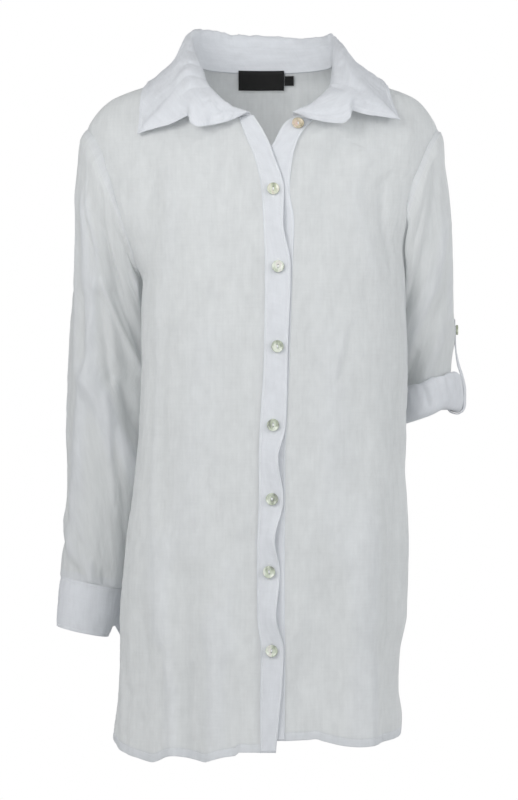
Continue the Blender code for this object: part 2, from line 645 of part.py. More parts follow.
def front_panel(name, side, table, hem, folds):
    """One front, from its placket's seam to the side seam, with its armhole, neckline and shoulder seam."""
    hem_rows = named(hem, HEM_COLUMNS)
    left = placket_edge(side, hem_rows["z"][0])
    right = side_edge(table, side, hem_rows["z"][-1], behind=False)
    shoulder = shoulder_seam(side, 2)
    shares = np.linspace(0, 1, len(shoulder)) ** 0.9
    bottom_angles = left[0, 0] + (right[0, 0] - left[0, 0]) * shares
    bottom = np.stack([bottom_angles, smooth(hem_rows["share"], hem_rows["z"], shares)], axis=1)
    pairs = ruled_grid(bottom, shoulder, left, right)
    grid = torso_point(pairs[..., 0], pairs[..., 1])
    run = cloth_distances(grid)
    to_side = run[:, -1:] - run
    height = fold_heights(folds, run, grid[..., 2]) * np.clip(to_side / 0.03, 0, 1)
    height[-1] = 0.0
    # Beside the placket the upper front lies further out than the lower one.
    near = np.exp(-((run / 0.02) ** 2)) * np.clip((-0.045 - grid[..., 2]) / 0.02, 0, 1)
    grid += side * normals_of(grid) * (height - side * PLACKET_STEP * near)[..., None]
    gap_at_edges(grid, ("start", "end", "top"))
    return cloth_panel(name, grid)


def back_neckline(count):
    """(angle, height) pairs round the back of the neck, from the wearer's right to the left."""
    angles = np.linspace(-90.0, -270.0, count)
    return np.stack([angles, -0.0022 * np.sin(np.radians(-angles - 90.0))], axis=1)


def back_angle(x, z):
    """The angle round the torso at which its back is this far from the middle plane, -90 to -270."""
    half = np.where(x < 0, torso_size("half_right", z), torso_size("half_left", z))
    power = torso_size("back_power", z)
    across = np.clip(np.abs(x) / half, 0, 1)
    behind = (1 - across**power) ** (1 / power)
    return -180.0 - np.degrees(np.arctan2(np.sign(x) * across, behind))


def seen_flat(pairs):
    """(distance from the middle plane, height) of (angle, height) pairs."""
    points = torso_point(pairs[:, 0], pairs[:, 1])
    return points[:, (0, 2)]


def back_panel():
    """The back in one piece, from the wearer's right side seam to the left."""
    hem_rows = named(HEM_BACK, HEM_COLUMNS)
    left = seen_flat(side_edge(ARMHOLE_RIGHT, -1, hem_rows["z"][0], behind=True))
    right = seen_flat(side_edge(ARMHOLE_LEFT, 1, hem_rows["z"][-1], behind=True))
    shoulder = shoulder_seam(1, 1)
    near = np.stack([np.full(len(shoulder), -90.0), shoulder[::-1, 1]], axis=1)
    far = np.stack([np.full(len(shoulder), -270.0), shoulder[:, 1]], axis=1)
    top = seen_flat(np.concatenate([near[:-1], back_neckline(BACK_NECK_STEPS + 1), far[1:]]))
    shares = np.linspace(0, 1, len(top))
    bottom_x = np.interp(shares, (0, 1), (left[0, 0], right[0, 0]))
    bottom = np.stack([bottom_x, smooth(hem_rows["share"], hem_rows["z"], shares)], axis=1)
    flat = ruled_grid(bottom, top, left, right)
    grid = torso_point(back_angle(flat[..., 0], flat[..., 1]), flat[..., 1])
    run = cloth_distances(grid)
    to_side = np.minimum(run, run[:, -1:] - run)
    middle = run - run[:, len(top) // 2][:, None]
    height = fold_heights(BACK_FOLDS, middle, grid[..., 2]) * np.clip(to_side / 0.03, 0, 1)
    height[-1] = 0.0
    outward = normals_of(grid)
    outward *= np.sign(outward[..., 1:2])
    grid += outward * height[..., None]
    gap_at_edges(grid, ("start", "end", "top"))
    return cloth_panel("back", grid)


def placket(name, side, hem_z, split):
    """A doubled strip along the front opening, from its free edge to its seam."""
    column = "left_seam" if side > 0 else "right_seam"
    levels = np.concatenate([np.linspace(hem_z, UNDERARM_Z, ROWS_BELOW + 1), OPENING_LEVELS[1:]])
    at = np.linspace(0, len(levels) - 1, split * (len(levels) - 1) + 1)
    z = np.interp(at, np.arange(len(levels)), levels)
    seam = np.interp(z, levels, placket_size(column, levels))
    edge = placket_size("left_edge" if side > 0 else "right_edge", z)
    across = np.linspace(0, 1, 4)[None, :]
    x = edge[:, None] + (seam - edge)[:, None] * across
    height = np.repeat(z[:, None], 4, axis=1)
    grid = torso_point(front_angle(x, height), height)
    stand_off = np.full(x.shape, -side * PLACKET_STEP)
    if side < 0:
        stand_off += placket_size("lift", z)[:, None] * (1 - across) ** 1.5
    outward = normals_of(grid)
    outward *= np.sign(-outward[..., 1:2])
    grid += outward * stand_off[..., None]
    gap_at_edges(grid, ("end",))
    grid[-1] += (0.0, 0.0, -0.0015)
    slant = np.clip((grid[:, -1, 2] + 0.105) / 0.03, 0, 1)
    grid[:, -1] += (grid[:, -2] - grid[:, -1]) * (0.12 * slant)[:, None]
    return cloth_panel(name, grid, DOUBLE_CLOTH)


def oval_ring(row, side, sides):
    """A level or tilted ring through its outer and inner points. 0 degrees lies outside and 90 in front."""
    size = dict(zip(SLEEVE_COLUMNS, row))
    turn = np.radians(np.linspace(0, 360, sides, endpoint=False))
    swing = (1 + np.cos(turn)) / 2
    x = size["inner_x"] + (size["outer_x"] - size["inner_x"]) * swing
    z = size["inner_z"] + (size["outer_z"] - size["inner_z"]) * swing
    y = size["middle_y"] - size["half_depth"] * np.sin(turn)
    return np.stack([side * x, y, z], axis=1)


def armhole_ring(table, side, sides):
    """The armhole seam as a ring, from the shoulder point down the front and up the back."""
    half = sides // 2
    down = armhole(table, side, np.linspace(1, 0, half + 1), behind=False)
    up = armhole(table, side, np.linspace(0, 1, half + 1), behind=True)
    pairs = np.concatenate([down[:-1], up[:-1]])
    return torso_point(pairs[:, 0], pairs[:, 1])


def rings_between(rings, rows):
    """Finer rings through a list of rings, at even distances down the tube."""
    rings = np.array(rings)
    steps = np.linalg.norm(np.diff(rings, axis=0), axis=2).mean(axis=1)
    knots = np.concatenate([[0.0], np.cumsum(steps)])
    at = np.linspace(0, knots[-1], rows)
    fine = np.stack(
        [
            np.stack([smooth(knots, rings[:, j, k], at) for k in range(3)], axis=1)
            for j in range(rings.shape[1])
        ],
        axis=1,
    )
    return fine, at


def outward_of(grid):
    """Unit normals of a tube, away from its own middle line."""
    normal = normals_of(grid, around=True)
    from_middle = grid - grid.mean(axis=1, keepdims=True)
    turn = np.sign(np.sum(normal * from_middle, axis=(1, 2)))
    return normal * turn[:, None, None]


def sleeve_folds(grid, down, folds):
    turn = np.linspace(0, 2 * np.pi, grid.shape[1], endpoint=False)[None, :]
    radius = np.linalg.norm(grid - grid.mean(axis=1, keepdims=True), axis=2).mean(axis=1)[:, None]
    total = np.zeros(grid.shape[:2])
    for start, start_v, end, end_v, width, height in folds:
        for around in (-2 * np.pi, 0.0, 2 * np.pi):
            here = (turn + around) * radius
            total += ridge(
                here, down[:, None], np.radians(start) * FOLD_RADIUS, start_v,
                np.radians(end) * FOLD_RADIUS, end_v, width, height,
            )
    return total


def open_armhole_seam(grid):
    """Draws the sleeve's top ring down the sleeve until it is clear of the body cloth it is sewn to."""
    seam = grid[0]
    into_sleeve = grid[1] - seam
    into_sleeve /= np.linalg.norm(into_sleeve, axis=1, keepdims=True)
    tangent = np.roll(seam, -1, axis=0) - np.roll(seam, 1, axis=0)
    tangent /= np.linalg.norm(tangent, axis=1, keepdims=True)
    step = 0.0005
    outward = depth_outside(seam + step * np.eye(3)[:, None, :]) - depth_outside(seam)
    outward = (outward / np.linalg.norm(outward, axis=0)).T
    into_body = np.cross(outward, tangent)
    centre = seam.mean(axis=0)
    into_body *= np.sign(np.sum(into_body * (seam - centre), axis=1))[:, None]
    cosine = np.clip(np.sum(into_body * into_sleeve, axis=1), -0.995, 0.995)
    sine = np.sqrt(1 - cosine**2)
    beside = (CLOTH / 2 * (1 + cosine) + SEAM_GAP) / sine
    ahead = np.where(cosine < -0.05, (CLOTH / 2 * sine + SEAM_GAP / 2) / -np.minimum(cosine, -0.05), 1.0)
    grid[0] += into_sleeve * np.minimum(np.minimum(beside, ahead), SEAM_REACH)[:, None]
    folded_back = np.clip((cosine + 0.3) / 0.8, 0, 1)
    grid[0] += outward * (FOLDED_SEAM * folded_back)[:, None]


def sleeve(name, side, table, armhole_table, folds, rows, smooth_end):
    rings = [armhole_ring(armhole_table, side, SLEEVE_SIDES)]
    rings += [oval_ring(row, side, SLEEVE_SIDES) for row in table]
    grid, down = rings_between(rings, rows)
    fade = np.clip(down / 0.05, 0, 1) * np.clip((down[-1] - down) / smooth_end - 1, 0, 1)
    grid += outward_of(grid) * (sleeve_folds(grid, down, folds) * fade[:, None])[..., None]
    gap = SLEEVE_CLEARANCE * np.clip(0.5 + down / 0.06, 0, 1)
    grid[1:] = keep_clear(grid[1:], gap[1:, None])
    open_armhole_seam(grid)
    return cloth_panel(name, grid, around=True)


def cuff():
    rings = [oval_ring(row, -1, SLEEVE_SIDES) for row in CUFF_RIGHT]
    grid, _ = rings_between(rings, 4)
    grid[0] += (0.0, 0.0, -SEAM_GAP)
    return cloth_panel("cuff_right", grid, DOUBLE_CLOTH, around=True)


def roll():
    """The turned-up end of the left sleeve: up inside it, round the fold and up outside to its lip."""
    base = oval_ring(ROLL_BASE, 1, SLEEVE_SIDES)
    out = base - base.mean(axis=0)
    out[:, 2] = 0
    out /= np.linalg.norm(out, axis=1, keepdims=True)
    section = along_curve(np.array(ROLL_SECTION), np.linspace(0, 1, 10))
    rings = [base + out * away + np.array([0, 0, up]) for away, up in section]
    return cloth_panel("roll_left", np.array(rings), DOUBLE_CLOTH, around=True)


def tab():
    path = along_curve(np.array(TAB_PATH), np.linspace(0, 1, 20))
    across = np.linspace(-0.5, 0.5, 3) * TAB_WIDTH
    grid = np.zeros((len(path), 3, 3))
    grid[..., 0] = path[:, None, 0]
    grid[..., 1] = TAB_MIDDLE_Y + across[None, :]
    grid[..., 2] = path[:, None, 1]
    # The strap follows the sleeve round, so its sides lie further in than its middle, and its tip is pointed.
    grid[..., 0] -= (across[None, :] ** 2) * 5.5
    grid[0, (0, -1), 2] -= 0.006
    return cloth_panel("tab_left", grid, DOUBLE_CLOTH)


def neck_seam(side, shares):
    """Points on the neck seam at shares of its length, from the placket's free edge to centre back."""
    edge = placket_size("left_edge" if side > 0 else "right_edge", PLACKET_TOP_Z)
    top = placket_edge(side, -0.7)[ROWS_BELOW + len(OPENING_LEVELS) - 1:]
    start_x = torso_point(top[0, 0], top[0, 1])[0]
    band_x = np.linspace(edge, start_x, 12)[:-1]
    band_z = np.full(11, PLACKET_TOP_Z)
    band = np.stack([front_angle(band_x, band_z), band_z], axis=1)
    behind = back_neckline(BACK_NECK_STEPS + 1)[:BACK_NECK_STEPS // 2 + 1]
    behind[:, 0] *= -side
    pairs = np.concatenate([band, top[:-1], behind])
    return along_curve(torso_point(pairs[:, 0], pairs[:, 1]), shares)


def collar_side(side):
    """Rows of the collar for one side: the neck seam and the four lines of the table, front to back."""
    rows = [dict(zip(COLLAR_COLUMNS, row)) for row in COLLAR]
    shares = np.array([row["share"] for row in rows])
    lines = np.array([[row["fold"], row["crest"], row["middle"], row["edge"]] for row in rows])
    lines[..., 0] *= side
    if side > 0:
        moved = named(COLLAR_LEFT, COLLAR_LEFT_COLUMNS)
        lines[..., 0] += np.interp(shares, moved["share"], moved["out"])[:, None]
        for column, taken in (("up", COLLAR_LEFT_RISE), ("fold_up", COLLAR_LEFT_FOLD_RISE)):
            lines[..., 2] += np.outer(np.interp(shares, moved["share"], moved[column]), taken)
    seam = neck_seam(side, shares)
    return np.concatenate([seam[:, None], lines], axis=1)


def collar_lines():
    """The whole collar's stations, from the wearer's right front round the back to the left front."""
    right, left = collar_side(-1), collar_side(1)
    stations = np.concatenate([right, left[-2::-1]])
    knots = np.arange(len(stations), dtype=float)
    at = np.arange(0, len(stations) - 0.99, 0.5)
    fine = np.stack(
        [
            np.stack([smooth(knots, stations[:, c, k], at) for k in range(3)], axis=1)
            for c in range(stations.shape[1])
        ],
        axis=1,
    )
    return fine


def collar():
    lines = collar_lines()
    seam, fold = lines[:, 0], lines[:, 1]
    height = fold - seam
    length = np.linalg.norm(height, axis=1, keepdims=True)
    foot = seam + height / length * STAND_FOOT
    drop = np.maximum(length * STAND_SHARE, np.minimum(length * 0.5, STAND_LEAST_DROP))
    top = fold - height / length * drop
    across = np.linspace(0, 1, 3)[None, :, None]
    stand = foot[:, None] * (1 - across) + top[:, None] * across
    cloth_panel("collar_stand", stand, DOUBLE_CLOTH)
    start = top + height / length * STAND_SEAM_GAP
    controls = np.concatenate([start[:, None], lines[:, 1:]], axis=1)
    rows = []
    turn = np.linspace(0, 1, 5)[:, None]
    for chain in controls:
        # A round turn from the stand over the fold to the crest, then down the leaf.
        pull = 2 * chain[1] - (chain[0] + chain[2]) / 2
        over = (1 - turn) ** 2 * chain[0] + 2 * turn * (1 - turn) * pull + turn**2 * chain[2]
        run = lengths_along(chain)
        at = np.linspace(run[2], run[4], 4)[1:]
        down = np.stack([smooth(run, chain[:, k], at) for k in range(3)], axis=1)
        rows.append(np.concatenate([over, down]))
    leaf = np.array(rows)
    leaf[:, 4:] = keep_clear(leaf[:, 4:], LEAF_CLEARANCE)
    cloth_panel("collar_leaf", leaf, DOUBLE_CLOTH)


def label(name, left_x, right_x, top_z, bottom_z, inside, columns):
    """A flat woven tape against the inside of the back neck."""
    x = np.linspace(left_x, right_x, columns)[None, :].repeat(3, axis=0)
    z = np.linspace(bottom_z, top_z, 3)[:, None].repeat(columns, axis=1)
    level = np.minimum(z, -0.002)
    half = torso_size("half_left", level)
    depth = torso_size("back_y", level) - torso_size("widest_y", level)
    y = torso_size("widest_y", level) + depth * np.sqrt(1 - (x / half) ** 2) - inside
    tape = material("label", LABEL_BLACK, 0.7)
    return cloth_panel(name, np.stack([x, y, z], axis=-1), 0.0006, finish=tape)


def button(name, centre, outward):
    """A two-hole button with a raised rim, holes one above the other."""
    mesh = bmesh.new()
    rings = []
    for share, height in BUTTON_SECTION:
        turn = [2 * math.pi * i / BUTTON_SIDES for i in range(BUTTON_SIDES)]
        rings.append([
            mesh.verts.new((BUTTON_RADIUS * share * math.cos(a), BUTTON_RADIUS * share * math.sin(a),
                            BUTTON_THICKNESS * height)) for a in turn
        ])
    for low, high in zip(rings, rings[1:]):
        for i in range(BUTTON_SIDES):
            j = (i + 1) % BUTTON_SIDES
            mesh.faces.new((low[i], low[j], high[j], high[i]))
    holes = {"low": [], "high": []}
    for offset in (-BUTTON_HOLE_SPACING / 2, BUTTON_HOLE_SPACING / 2):
        for level, z in (("low", 0.0), ("high", BUTTON_THICKNESS * BUTTON_SECTION[-1][1])):
            holes[level].append([
                mesh.verts.new((BUTTON_HOLE_RADIUS * math.cos(2 * math.pi * i / HOLE_SIDES),
                                offset + BUTTON_HOLE_RADIUS * math.sin(2 * math.pi * i / HOLE_SIDES), z))
                for i in range(HOLE_SIDES)
            ])
    for low, high in zip(holes["low"], holes["high"]):
        for i in range(HOLE_SIDES):
            j = (i + 1) % HOLE_SIDES
            mesh.faces.new((low[j], low[i], high[i], high[j]))
    for ring, level in ((rings[0], "low"), (rings[-1], "high")):
        loops = [ring] + holes[level]
        edges = []
        for loop in loops:
            for i in range(len(loop)):
                edges.append(mesh.edges.get((loop[i], loop[(i + 1) % len(loop)])))
        bmesh.ops.triangle_fill(mesh, use_beauty=True, edges=edges, normal=(0, 0, 1))
    bmesh.ops.recalc_face_normals(mesh, faces=mesh.faces)
    outward = Vector(outward).normalized()
    upward = (Vector((0, 0, 1)) - outward * outward.z).normalized()
    sideways = upward.cross(outward)
    turn = Matrix((sideways, upward, outward)).transposed().to_4x4()
    turn.translation = Vector(centre) + outward * BUTTON_STAND_OFF
    mesh.transform(turn)
    made = bpy.data.meshes.new(name)
    mesh.to_mesh(made)
    mesh.free()
    return add_object(name, made, material("shell", SHELL, 0.25))


def front_button(name, x, z, stand_off):
    """A button on a placket, square to its cloth."""
    spread = 0.004
    around = torso_point(front_angle((x, x + spread, x), (z, z, z + spread)), (z, z, z + spread))
    outward = np.cross(around[1] - around[0], around[2] - around[0])
    outward /= np.linalg.norm(outward)
    return button(name, around[0] + outward * (stand_off + DOUBLE_CLOTH / 2), outward)


def start_clean():
    for old in list(bpy.data.objects):
        bpy.data.objects.remove(old)


start_clean()
back_panel()
front_panel("front_right", -1, ARMHOLE_RIGHT, HEM_RIGHT, FRONT_RIGHT_FOLDS)
front_panel("front_left", 1, ARMHOLE_LEFT, HEM_LEFT, FRONT_LEFT_FOLDS)
placket("placket_right", -1, HEM_RIGHT[0][1], 3)
placket("placket_left", 1, HEM_LEFT[0][1], 2)
sleeve("sleeve_right", -1, SLEEVE_RIGHT, ARMHOLE_RIGHT, SLEEVE_RIGHT_FOLDS, 20, 0.001)
sleeve("sleeve_left", 1, SLEEVE_LEFT, ARMHOLE_LEFT, SLEEVE_LEFT_FOLDS, 14, 0.045)
cuff()
roll()
tab()
collar()
label("neck_label", -0.0315, 0.0229, 0.0015, -0.0215, 0.0036, 6)
label("size_label", 0.0234, 0.0345, -0.0050, -0.0160, 0.0036, 3)
for number, (button_x, button_z) in enumerate(FRONT_BUTTONS, start=1):
    front_button(f"button_{number}", button_x, button_z, PLACKET_STEP)
front_button("button_neck", NECK_BUTTON[0], NECK_BUTTON[1], -PLACKET_STEP)
button("button_tab_left", (TAB_PATH[1][0] + DOUBLE_CLOTH / 2, TAB_MIDDLE_Y, TAB_PATH[1][1]), (1.0, 0.0, 0.0))
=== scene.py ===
# %% [markdown]
# # A long linen shirt in its worn form
# The shirt is filled out as if it were worn, with nothing inside it. Its cloth could be one sculpted
# surface, or a simulated one. Here each cut piece is its own sheet, worked out from the shirt's own sizes,
# because a maker would cut it so, and because the sheets then lie exactly on the solids of the model.

# %% Load the frame
import math

import bpy
import numpy as np
from mathutils import Matrix, Vector


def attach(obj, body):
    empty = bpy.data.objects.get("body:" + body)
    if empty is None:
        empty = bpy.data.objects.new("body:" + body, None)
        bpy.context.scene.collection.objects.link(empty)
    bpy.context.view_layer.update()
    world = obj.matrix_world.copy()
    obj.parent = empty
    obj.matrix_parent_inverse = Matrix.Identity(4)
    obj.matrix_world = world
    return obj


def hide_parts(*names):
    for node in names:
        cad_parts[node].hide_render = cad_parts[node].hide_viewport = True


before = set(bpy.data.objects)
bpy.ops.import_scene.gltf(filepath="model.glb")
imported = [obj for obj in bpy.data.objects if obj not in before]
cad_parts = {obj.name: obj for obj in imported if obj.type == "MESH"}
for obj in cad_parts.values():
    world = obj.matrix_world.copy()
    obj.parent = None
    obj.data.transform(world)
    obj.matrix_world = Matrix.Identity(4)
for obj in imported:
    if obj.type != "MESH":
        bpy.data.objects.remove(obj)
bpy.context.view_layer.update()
bpy.ops.object.select_all(action="DESELECT")

# %% [markdown]
# ## Camera, light and floor
# The shirt is seen straight from the front with a long lens. An even surround, brighter in front than behind
# and overhead, keeps the linen soft. A large lamp from the front left gives its folds their shape, a weaker
# one fills the right side, and one behind shines through the cloth a little and lights the back. The floor
# lies as far below the hem as it would under someone who wears the shirt, so it is out of the front view.

# %% Camera
CAMERA_PLACE = (-0.007, -3.2, -0.392)
CAMERA_LENS = 123.08

camera_data = bpy.data.cameras.new("camera")
camera_data.lens = CAMERA_LENS
camera_data.sensor_width = 36.0
camera_data.clip_end = 60.0
camera = bpy.data.objects.new("camera", camera_data)
camera.location = CAMERA_PLACE
camera.rotation_euler = (math.radians(90), 0, 0)
bpy.context.scene.collection.objects.link(camera)
bpy.context.scene.camera = camera
bpy.context.scene.view_settings.view_transform = "Standard"


# %% Node helpers
def feed(tree, node, inputs):
    """Gives inputs, by name or number, a value or a link from another node's output."""
    for name, value in dict(inputs).items():
        if isinstance(value, bpy.types.NodeSocket):
            tree.links.new(value, node.inputs[name])
        else:
            node.inputs[name].default_value = value


def add_node(tree, kind, inputs=(), **settings):
    node = tree.nodes.new(kind)
    for name, value in settings.items():
        setattr(node, name, value)
    feed(tree, node, inputs)
    return node


def new_material(name, inputs):
    """A material, its node tree and its Principled shader with these inputs."""
    made = bpy.data.materials.new(name)
    made.use_nodes = True
    surface = made.node_tree.nodes["Principled BSDF"]
    feed(made.node_tree, surface, inputs)
    return made, made.node_tree, surface


# %% Lamps and surround
def add_lamp(name, place, towards, width, power, colour):
    lamp = bpy.data.lights.new(name, "AREA")
    lamp.shape = "DISK"
    lamp.size = width
    lamp.energy = power
    lamp.color = colour
    holder = bpy.data.objects.new(name, lamp)
    holder.location = place
    holder.rotation_mode = "QUATERNION"
    holder.rotation_quaternion = (Vector(towards) - Vector(place)).to_track_quat("-Z", "Y")
    bpy.context.scene.collection.objects.link(holder)


add_lamp("key lamp", (-0.85, -1.35, 0.32), (0, 0, -0.2), 0.9, 12.0, (1.0, 0.997, 0.99))
add_lamp("side fill", (2.0, -1.25, 0.3), (0, 0, -0.2), 1.4, 15.6, (0.975, 0.988, 1.0))
add_lamp("back lamp", (1.5, 1.9, 0.2), (0, 0, -0.3), 1.4, 14.0, (0.985, 0.992, 1.0))

surround = bpy.data.worlds.new("surround")
bpy.context.scene.world = surround
surround.use_nodes = True
sky = surround.node_tree
direction = add_node(sky, "ShaderNodeTexCoord").outputs["Generated"]
BACK_AND_UP = (0.0, 0.5, 0.87)
away = add_node(sky, "ShaderNodeVectorMath", {0: direction, 1: BACK_AND_UP}, operation="DOT_PRODUCT")
levels = {"Value": away.outputs["Value"], "From Min": -0.6, "To Min": 0.89, "To Max": 0.25}
brighter_ahead = add_node(sky, "ShaderNodeMapRange", levels)
soft_light = sky.nodes["Background"]
feed(sky, soft_light, {"Color": (0.975, 0.985, 1.0, 1.0), "Strength": brighter_ahead.outputs[0]})
white_wall = add_node(sky, "ShaderNodeBackground", {"Color": (1.0, 1.0, 1.0, 1.0)})
seen = add_node(sky, "ShaderNodeLightPath").outputs["Is Camera Ray"]
either = add_node(sky, "ShaderNodeMixShader", {0: seen, 1: soft_light.outputs[0], 2: white_wall.outputs[0]})
feed(sky, sky.nodes["World Output"], {"Surface": either.outputs[0]})

# %% Floor
FLOOR_Z = -1.42
bpy.ops.mesh.primitive_circle_add(vertices=96, radius=3.3, fill_type="NGON", location=(0, 0, FLOOR_Z))
floor = bpy.context.object
floor.name = "floor"
floor_paint = new_material("pale floor", {"Base Color": (0.77, 0.77, 0.77, 1), "Roughness": 0.9})[0]
floor.data.materials.append(floor_paint)
print("floor at", FLOOR_Z)

# %% [markdown]
# ## The shirt's sizes
# All sizes are in metres. The torso is a stack of level ovals, and every seam is a line on it, so one table
# of ovals shapes the fronts, the back, the plackets and the neck together.

# %% Heights and gaps
UNDERARM_Z = -0.256
SHOULDER_Z = -0.074
SLIT_TOP_Z = -0.662
SIDE_SEAM_ANGLE = 112.0
SLIT_FRONT_SPREAD = 5.0
SLIT_BACK_SPREAD = 3.0
PLACKET_STEP = 0.0011
PLACKET_TOP_Z = -0.0685
SLEEVE_CLEARANCE = 0.005
LEAF_CLEARANCE = 0.003
ROWS_BELOW, ROWS_ABOVE = 12, 14
SHOULDER_STEPS, BACK_NECK_STEPS = 7, 10
OPENING_LEVELS = (-0.256, -0.215, -0.175, -0.141, -0.114, -0.094, -0.08, -0.0685)

# %% The torso, from the hem up
# Level sections of the torso, from the hem up. Half widths are to the wearer's right and left of the middle
# plane, widest_y is where they are reached, and the powers square up the front and the back of the oval.
TORSO_COLUMNS = (
    "z", "half_right", "half_left", "widest_y", "front_y", "back_y", "front_power", "back_power",
)
TORSO = (
    (-0.8, 0.179, 0.158, -0.02, -0.146, 0.142, 2.3, 2.1),
    (-0.76, 0.1745, 0.159, -0.022, -0.144, 0.138, 2.3, 2.1),
    (-0.725, 0.1705, 0.155, -0.024, -0.142, 0.135, 2.3, 2.1),
    (-0.68, 0.169, 0.1565, -0.027, -0.141, 0.131, 2.3, 2.0),
    (-0.64, 0.168, 0.164, -0.03, -0.14, 0.128, 2.3, 2.0),
    (-0.56, 0.161, 0.165, -0.035, -0.138, 0.123, 2.3, 1.9),
    (-0.46, 0.149, 0.1585, -0.04, -0.136, 0.118, 2.3, 1.8),
    (-0.34, 0.1425, 0.159, -0.042, -0.135, 0.115, 2.3, 1.7),
    (-0.256, 0.1415, 0.158, -0.034, -0.131, 0.117, 2.3, 1.8),
    (-0.225, 0.157, 0.161, -0.02, -0.127, 0.118, 2.2, 1.9),
    (-0.185, 0.187, 0.178, -0.004, -0.12, 0.118, 2.1, 2.0),
    (-0.15, 0.204, 0.197, 0.006, -0.112, 0.116, 2.0, 2.0),
    (-0.12, 0.2125, 0.206, 0.01, -0.103, 0.113, 2.0, 2.0),
    (-0.092, 0.2125, 0.206, 0.012, -0.092, 0.107, 2.0, 2.0),
    (-0.074, 0.208, 0.202, 0.012, -0.083, 0.102, 2.0, 2.0),
    (-0.057, 0.198, 0.193, 0.012, -0.073, 0.097, 2.0, 2.0),
    (-0.041, 0.181, 0.179, 0.012, -0.062, 0.091, 2.0, 2.0),
    (-0.031, 0.159, 0.159, 0.012, -0.053, 0.086, 2.0, 2.0),
    (-0.0235, 0.136, 0.136, 0.012, -0.046, 0.082, 2.0, 2.0),
    (-0.0115, 0.106, 0.106, 0.012, -0.036, 0.078, 2.0, 2.0),
    (0.0, 0.079, 0.079, 0.012, -0.025, 0.074, 2.0, 2.0),
)

# %% Armholes
# The armhole seam, from the shoulder point down to the underarm, as angles round the torso from centre front.
ARMHOLE_COLUMNS = ("z", "front_angle", "back_angle")
ARMHOLE_RIGHT = (
    (-0.074, 90.0, 90.0), (-0.078, 79.0, 101.0), (-0.09, 68.5, 111.0), (-0.11, 62.0, 117.0),
    (-0.14, 59.0, 121.0), (-0.17, 59.5, 124.0), (-0.2, 63.0, 127.0), (-0.225, 72.0, 128.0),
    (-0.243, 86.0, 125.0), (-0.253, 102.0, 120.0), (-0.256, 112.0, 112.0),
)
ARMHOLE_LEFT = (
    (-0.074, 90.0, 90.0), (-0.078, 79.0, 101.0), (-0.09, 70.0, 111.0), (-0.11, 63.0, 117.0),
    (-0.14, 58.0, 121.0), (-0.17, 60.0, 124.0), (-0.2, 74.0, 127.0), (-0.225, 90.0, 128.0),
    (-0.243, 101.0, 125.0), (-0.253, 108.0, 120.0), (-0.256, 112.0, 112.0),
)

# %% Hems
# Where the fronts' hems start at the plackets, where all hems end in the side slits, and the back's hem, from
# the right side to the left.
HEM_RIGHT_START_Z = -0.786
HEM_LEFT_START_Z = -0.773
HEM_END_Z = -0.742
HEM_COLUMNS = ("share", "z")
HEM_BACK = (
    (0.0, -0.742), (0.025, -0.765), (0.08, -0.784), (0.2, -0.797), (0.35, -0.801), (0.5, -0.799),
    (0.65, -0.802), (0.8, -0.797), (0.92, -0.784), (0.975, -0.765), (1.0, -0.742),
)

# %% Neckline and plackets
# The front necklines, from the top of the placket's seam to the shoulder neck point.
NECKLINE_COLUMNS = ("z", "right_x", "left_x")
NECKLINE = (
    (-0.069, 0.03, 0.06), (-0.067, 0.045, 0.0625), (-0.063, 0.057, 0.065), (-0.057, 0.063, 0.0675),
    (-0.047, 0.0685, 0.0705), (-0.031, 0.0735, 0.0745), (-0.015, 0.0768, 0.0772), (0.0, 0.079, 0.079),
)

# The two plackets, from the hem to the open neck. Edges are free, seams join the front. The lift is how far
# the upper placket's free edge stands off between its buttons.
PLACKET_COLUMNS = ("z", "right_edge", "right_seam", "left_edge", "left_seam", "right_lift")
PLACKETS = (
    (-0.8, 0.0105, -0.0048, -0.01, 0.0215, 0.0), (-0.74, 0.016, -0.0058, -0.01, 0.022, 0.003),
    (-0.704, 0.0191, -0.0054, -0.01, 0.0225, 0.001), (-0.672, 0.0207, -0.005, -0.01, 0.0225, 0.0),
    (-0.635, 0.012, -0.009, -0.011, 0.022, 0.006), (-0.584, 0.0165, -0.0092, -0.011, 0.022, 0.0),
    (-0.55, 0.0104, -0.009, -0.011, 0.022, 0.007), (-0.503, 0.0205, -0.0074, -0.01, 0.0225, 0.0),
    (-0.458, 0.0142, -0.0076, -0.01, 0.0225, 0.007), (-0.42, 0.023, -0.006, -0.008, 0.024, 0.0),
    (-0.332, 0.0255, -0.0014, -0.004, 0.028, 0.0), (-0.242, 0.0286, -0.0006, -0.002, 0.031, 0.0),
    (-0.191, 0.0199, -0.0022, 0.0, 0.033, 0.004), (-0.154, 0.0212, -0.0045, -0.004, 0.028, 0.0),
    (-0.116, 0.01, -0.0125, -0.001, 0.0315, 0.001), (-0.098, 0.0032, -0.02, 0.0105, 0.0365, 0.002),
    (-0.085, -0.0036, -0.025, 0.0165, 0.043, 0.003), (-0.074, -0.0104, -0.0285, 0.024, 0.052, 0.003),
    (-0.066, -0.015, -0.0305, 0.0365, 0.061, 0.003),
)
FRONT_BUTTONS = (
    (0.009, -0.1545), (0.0142, -0.2425), (0.0135, -0.332), (0.0087, -0.42), (0.0074, -0.503),
    (0.0042, -0.5845), (0.007, -0.6725),
)
NECK_BUTTON = (0.0374, -0.077)

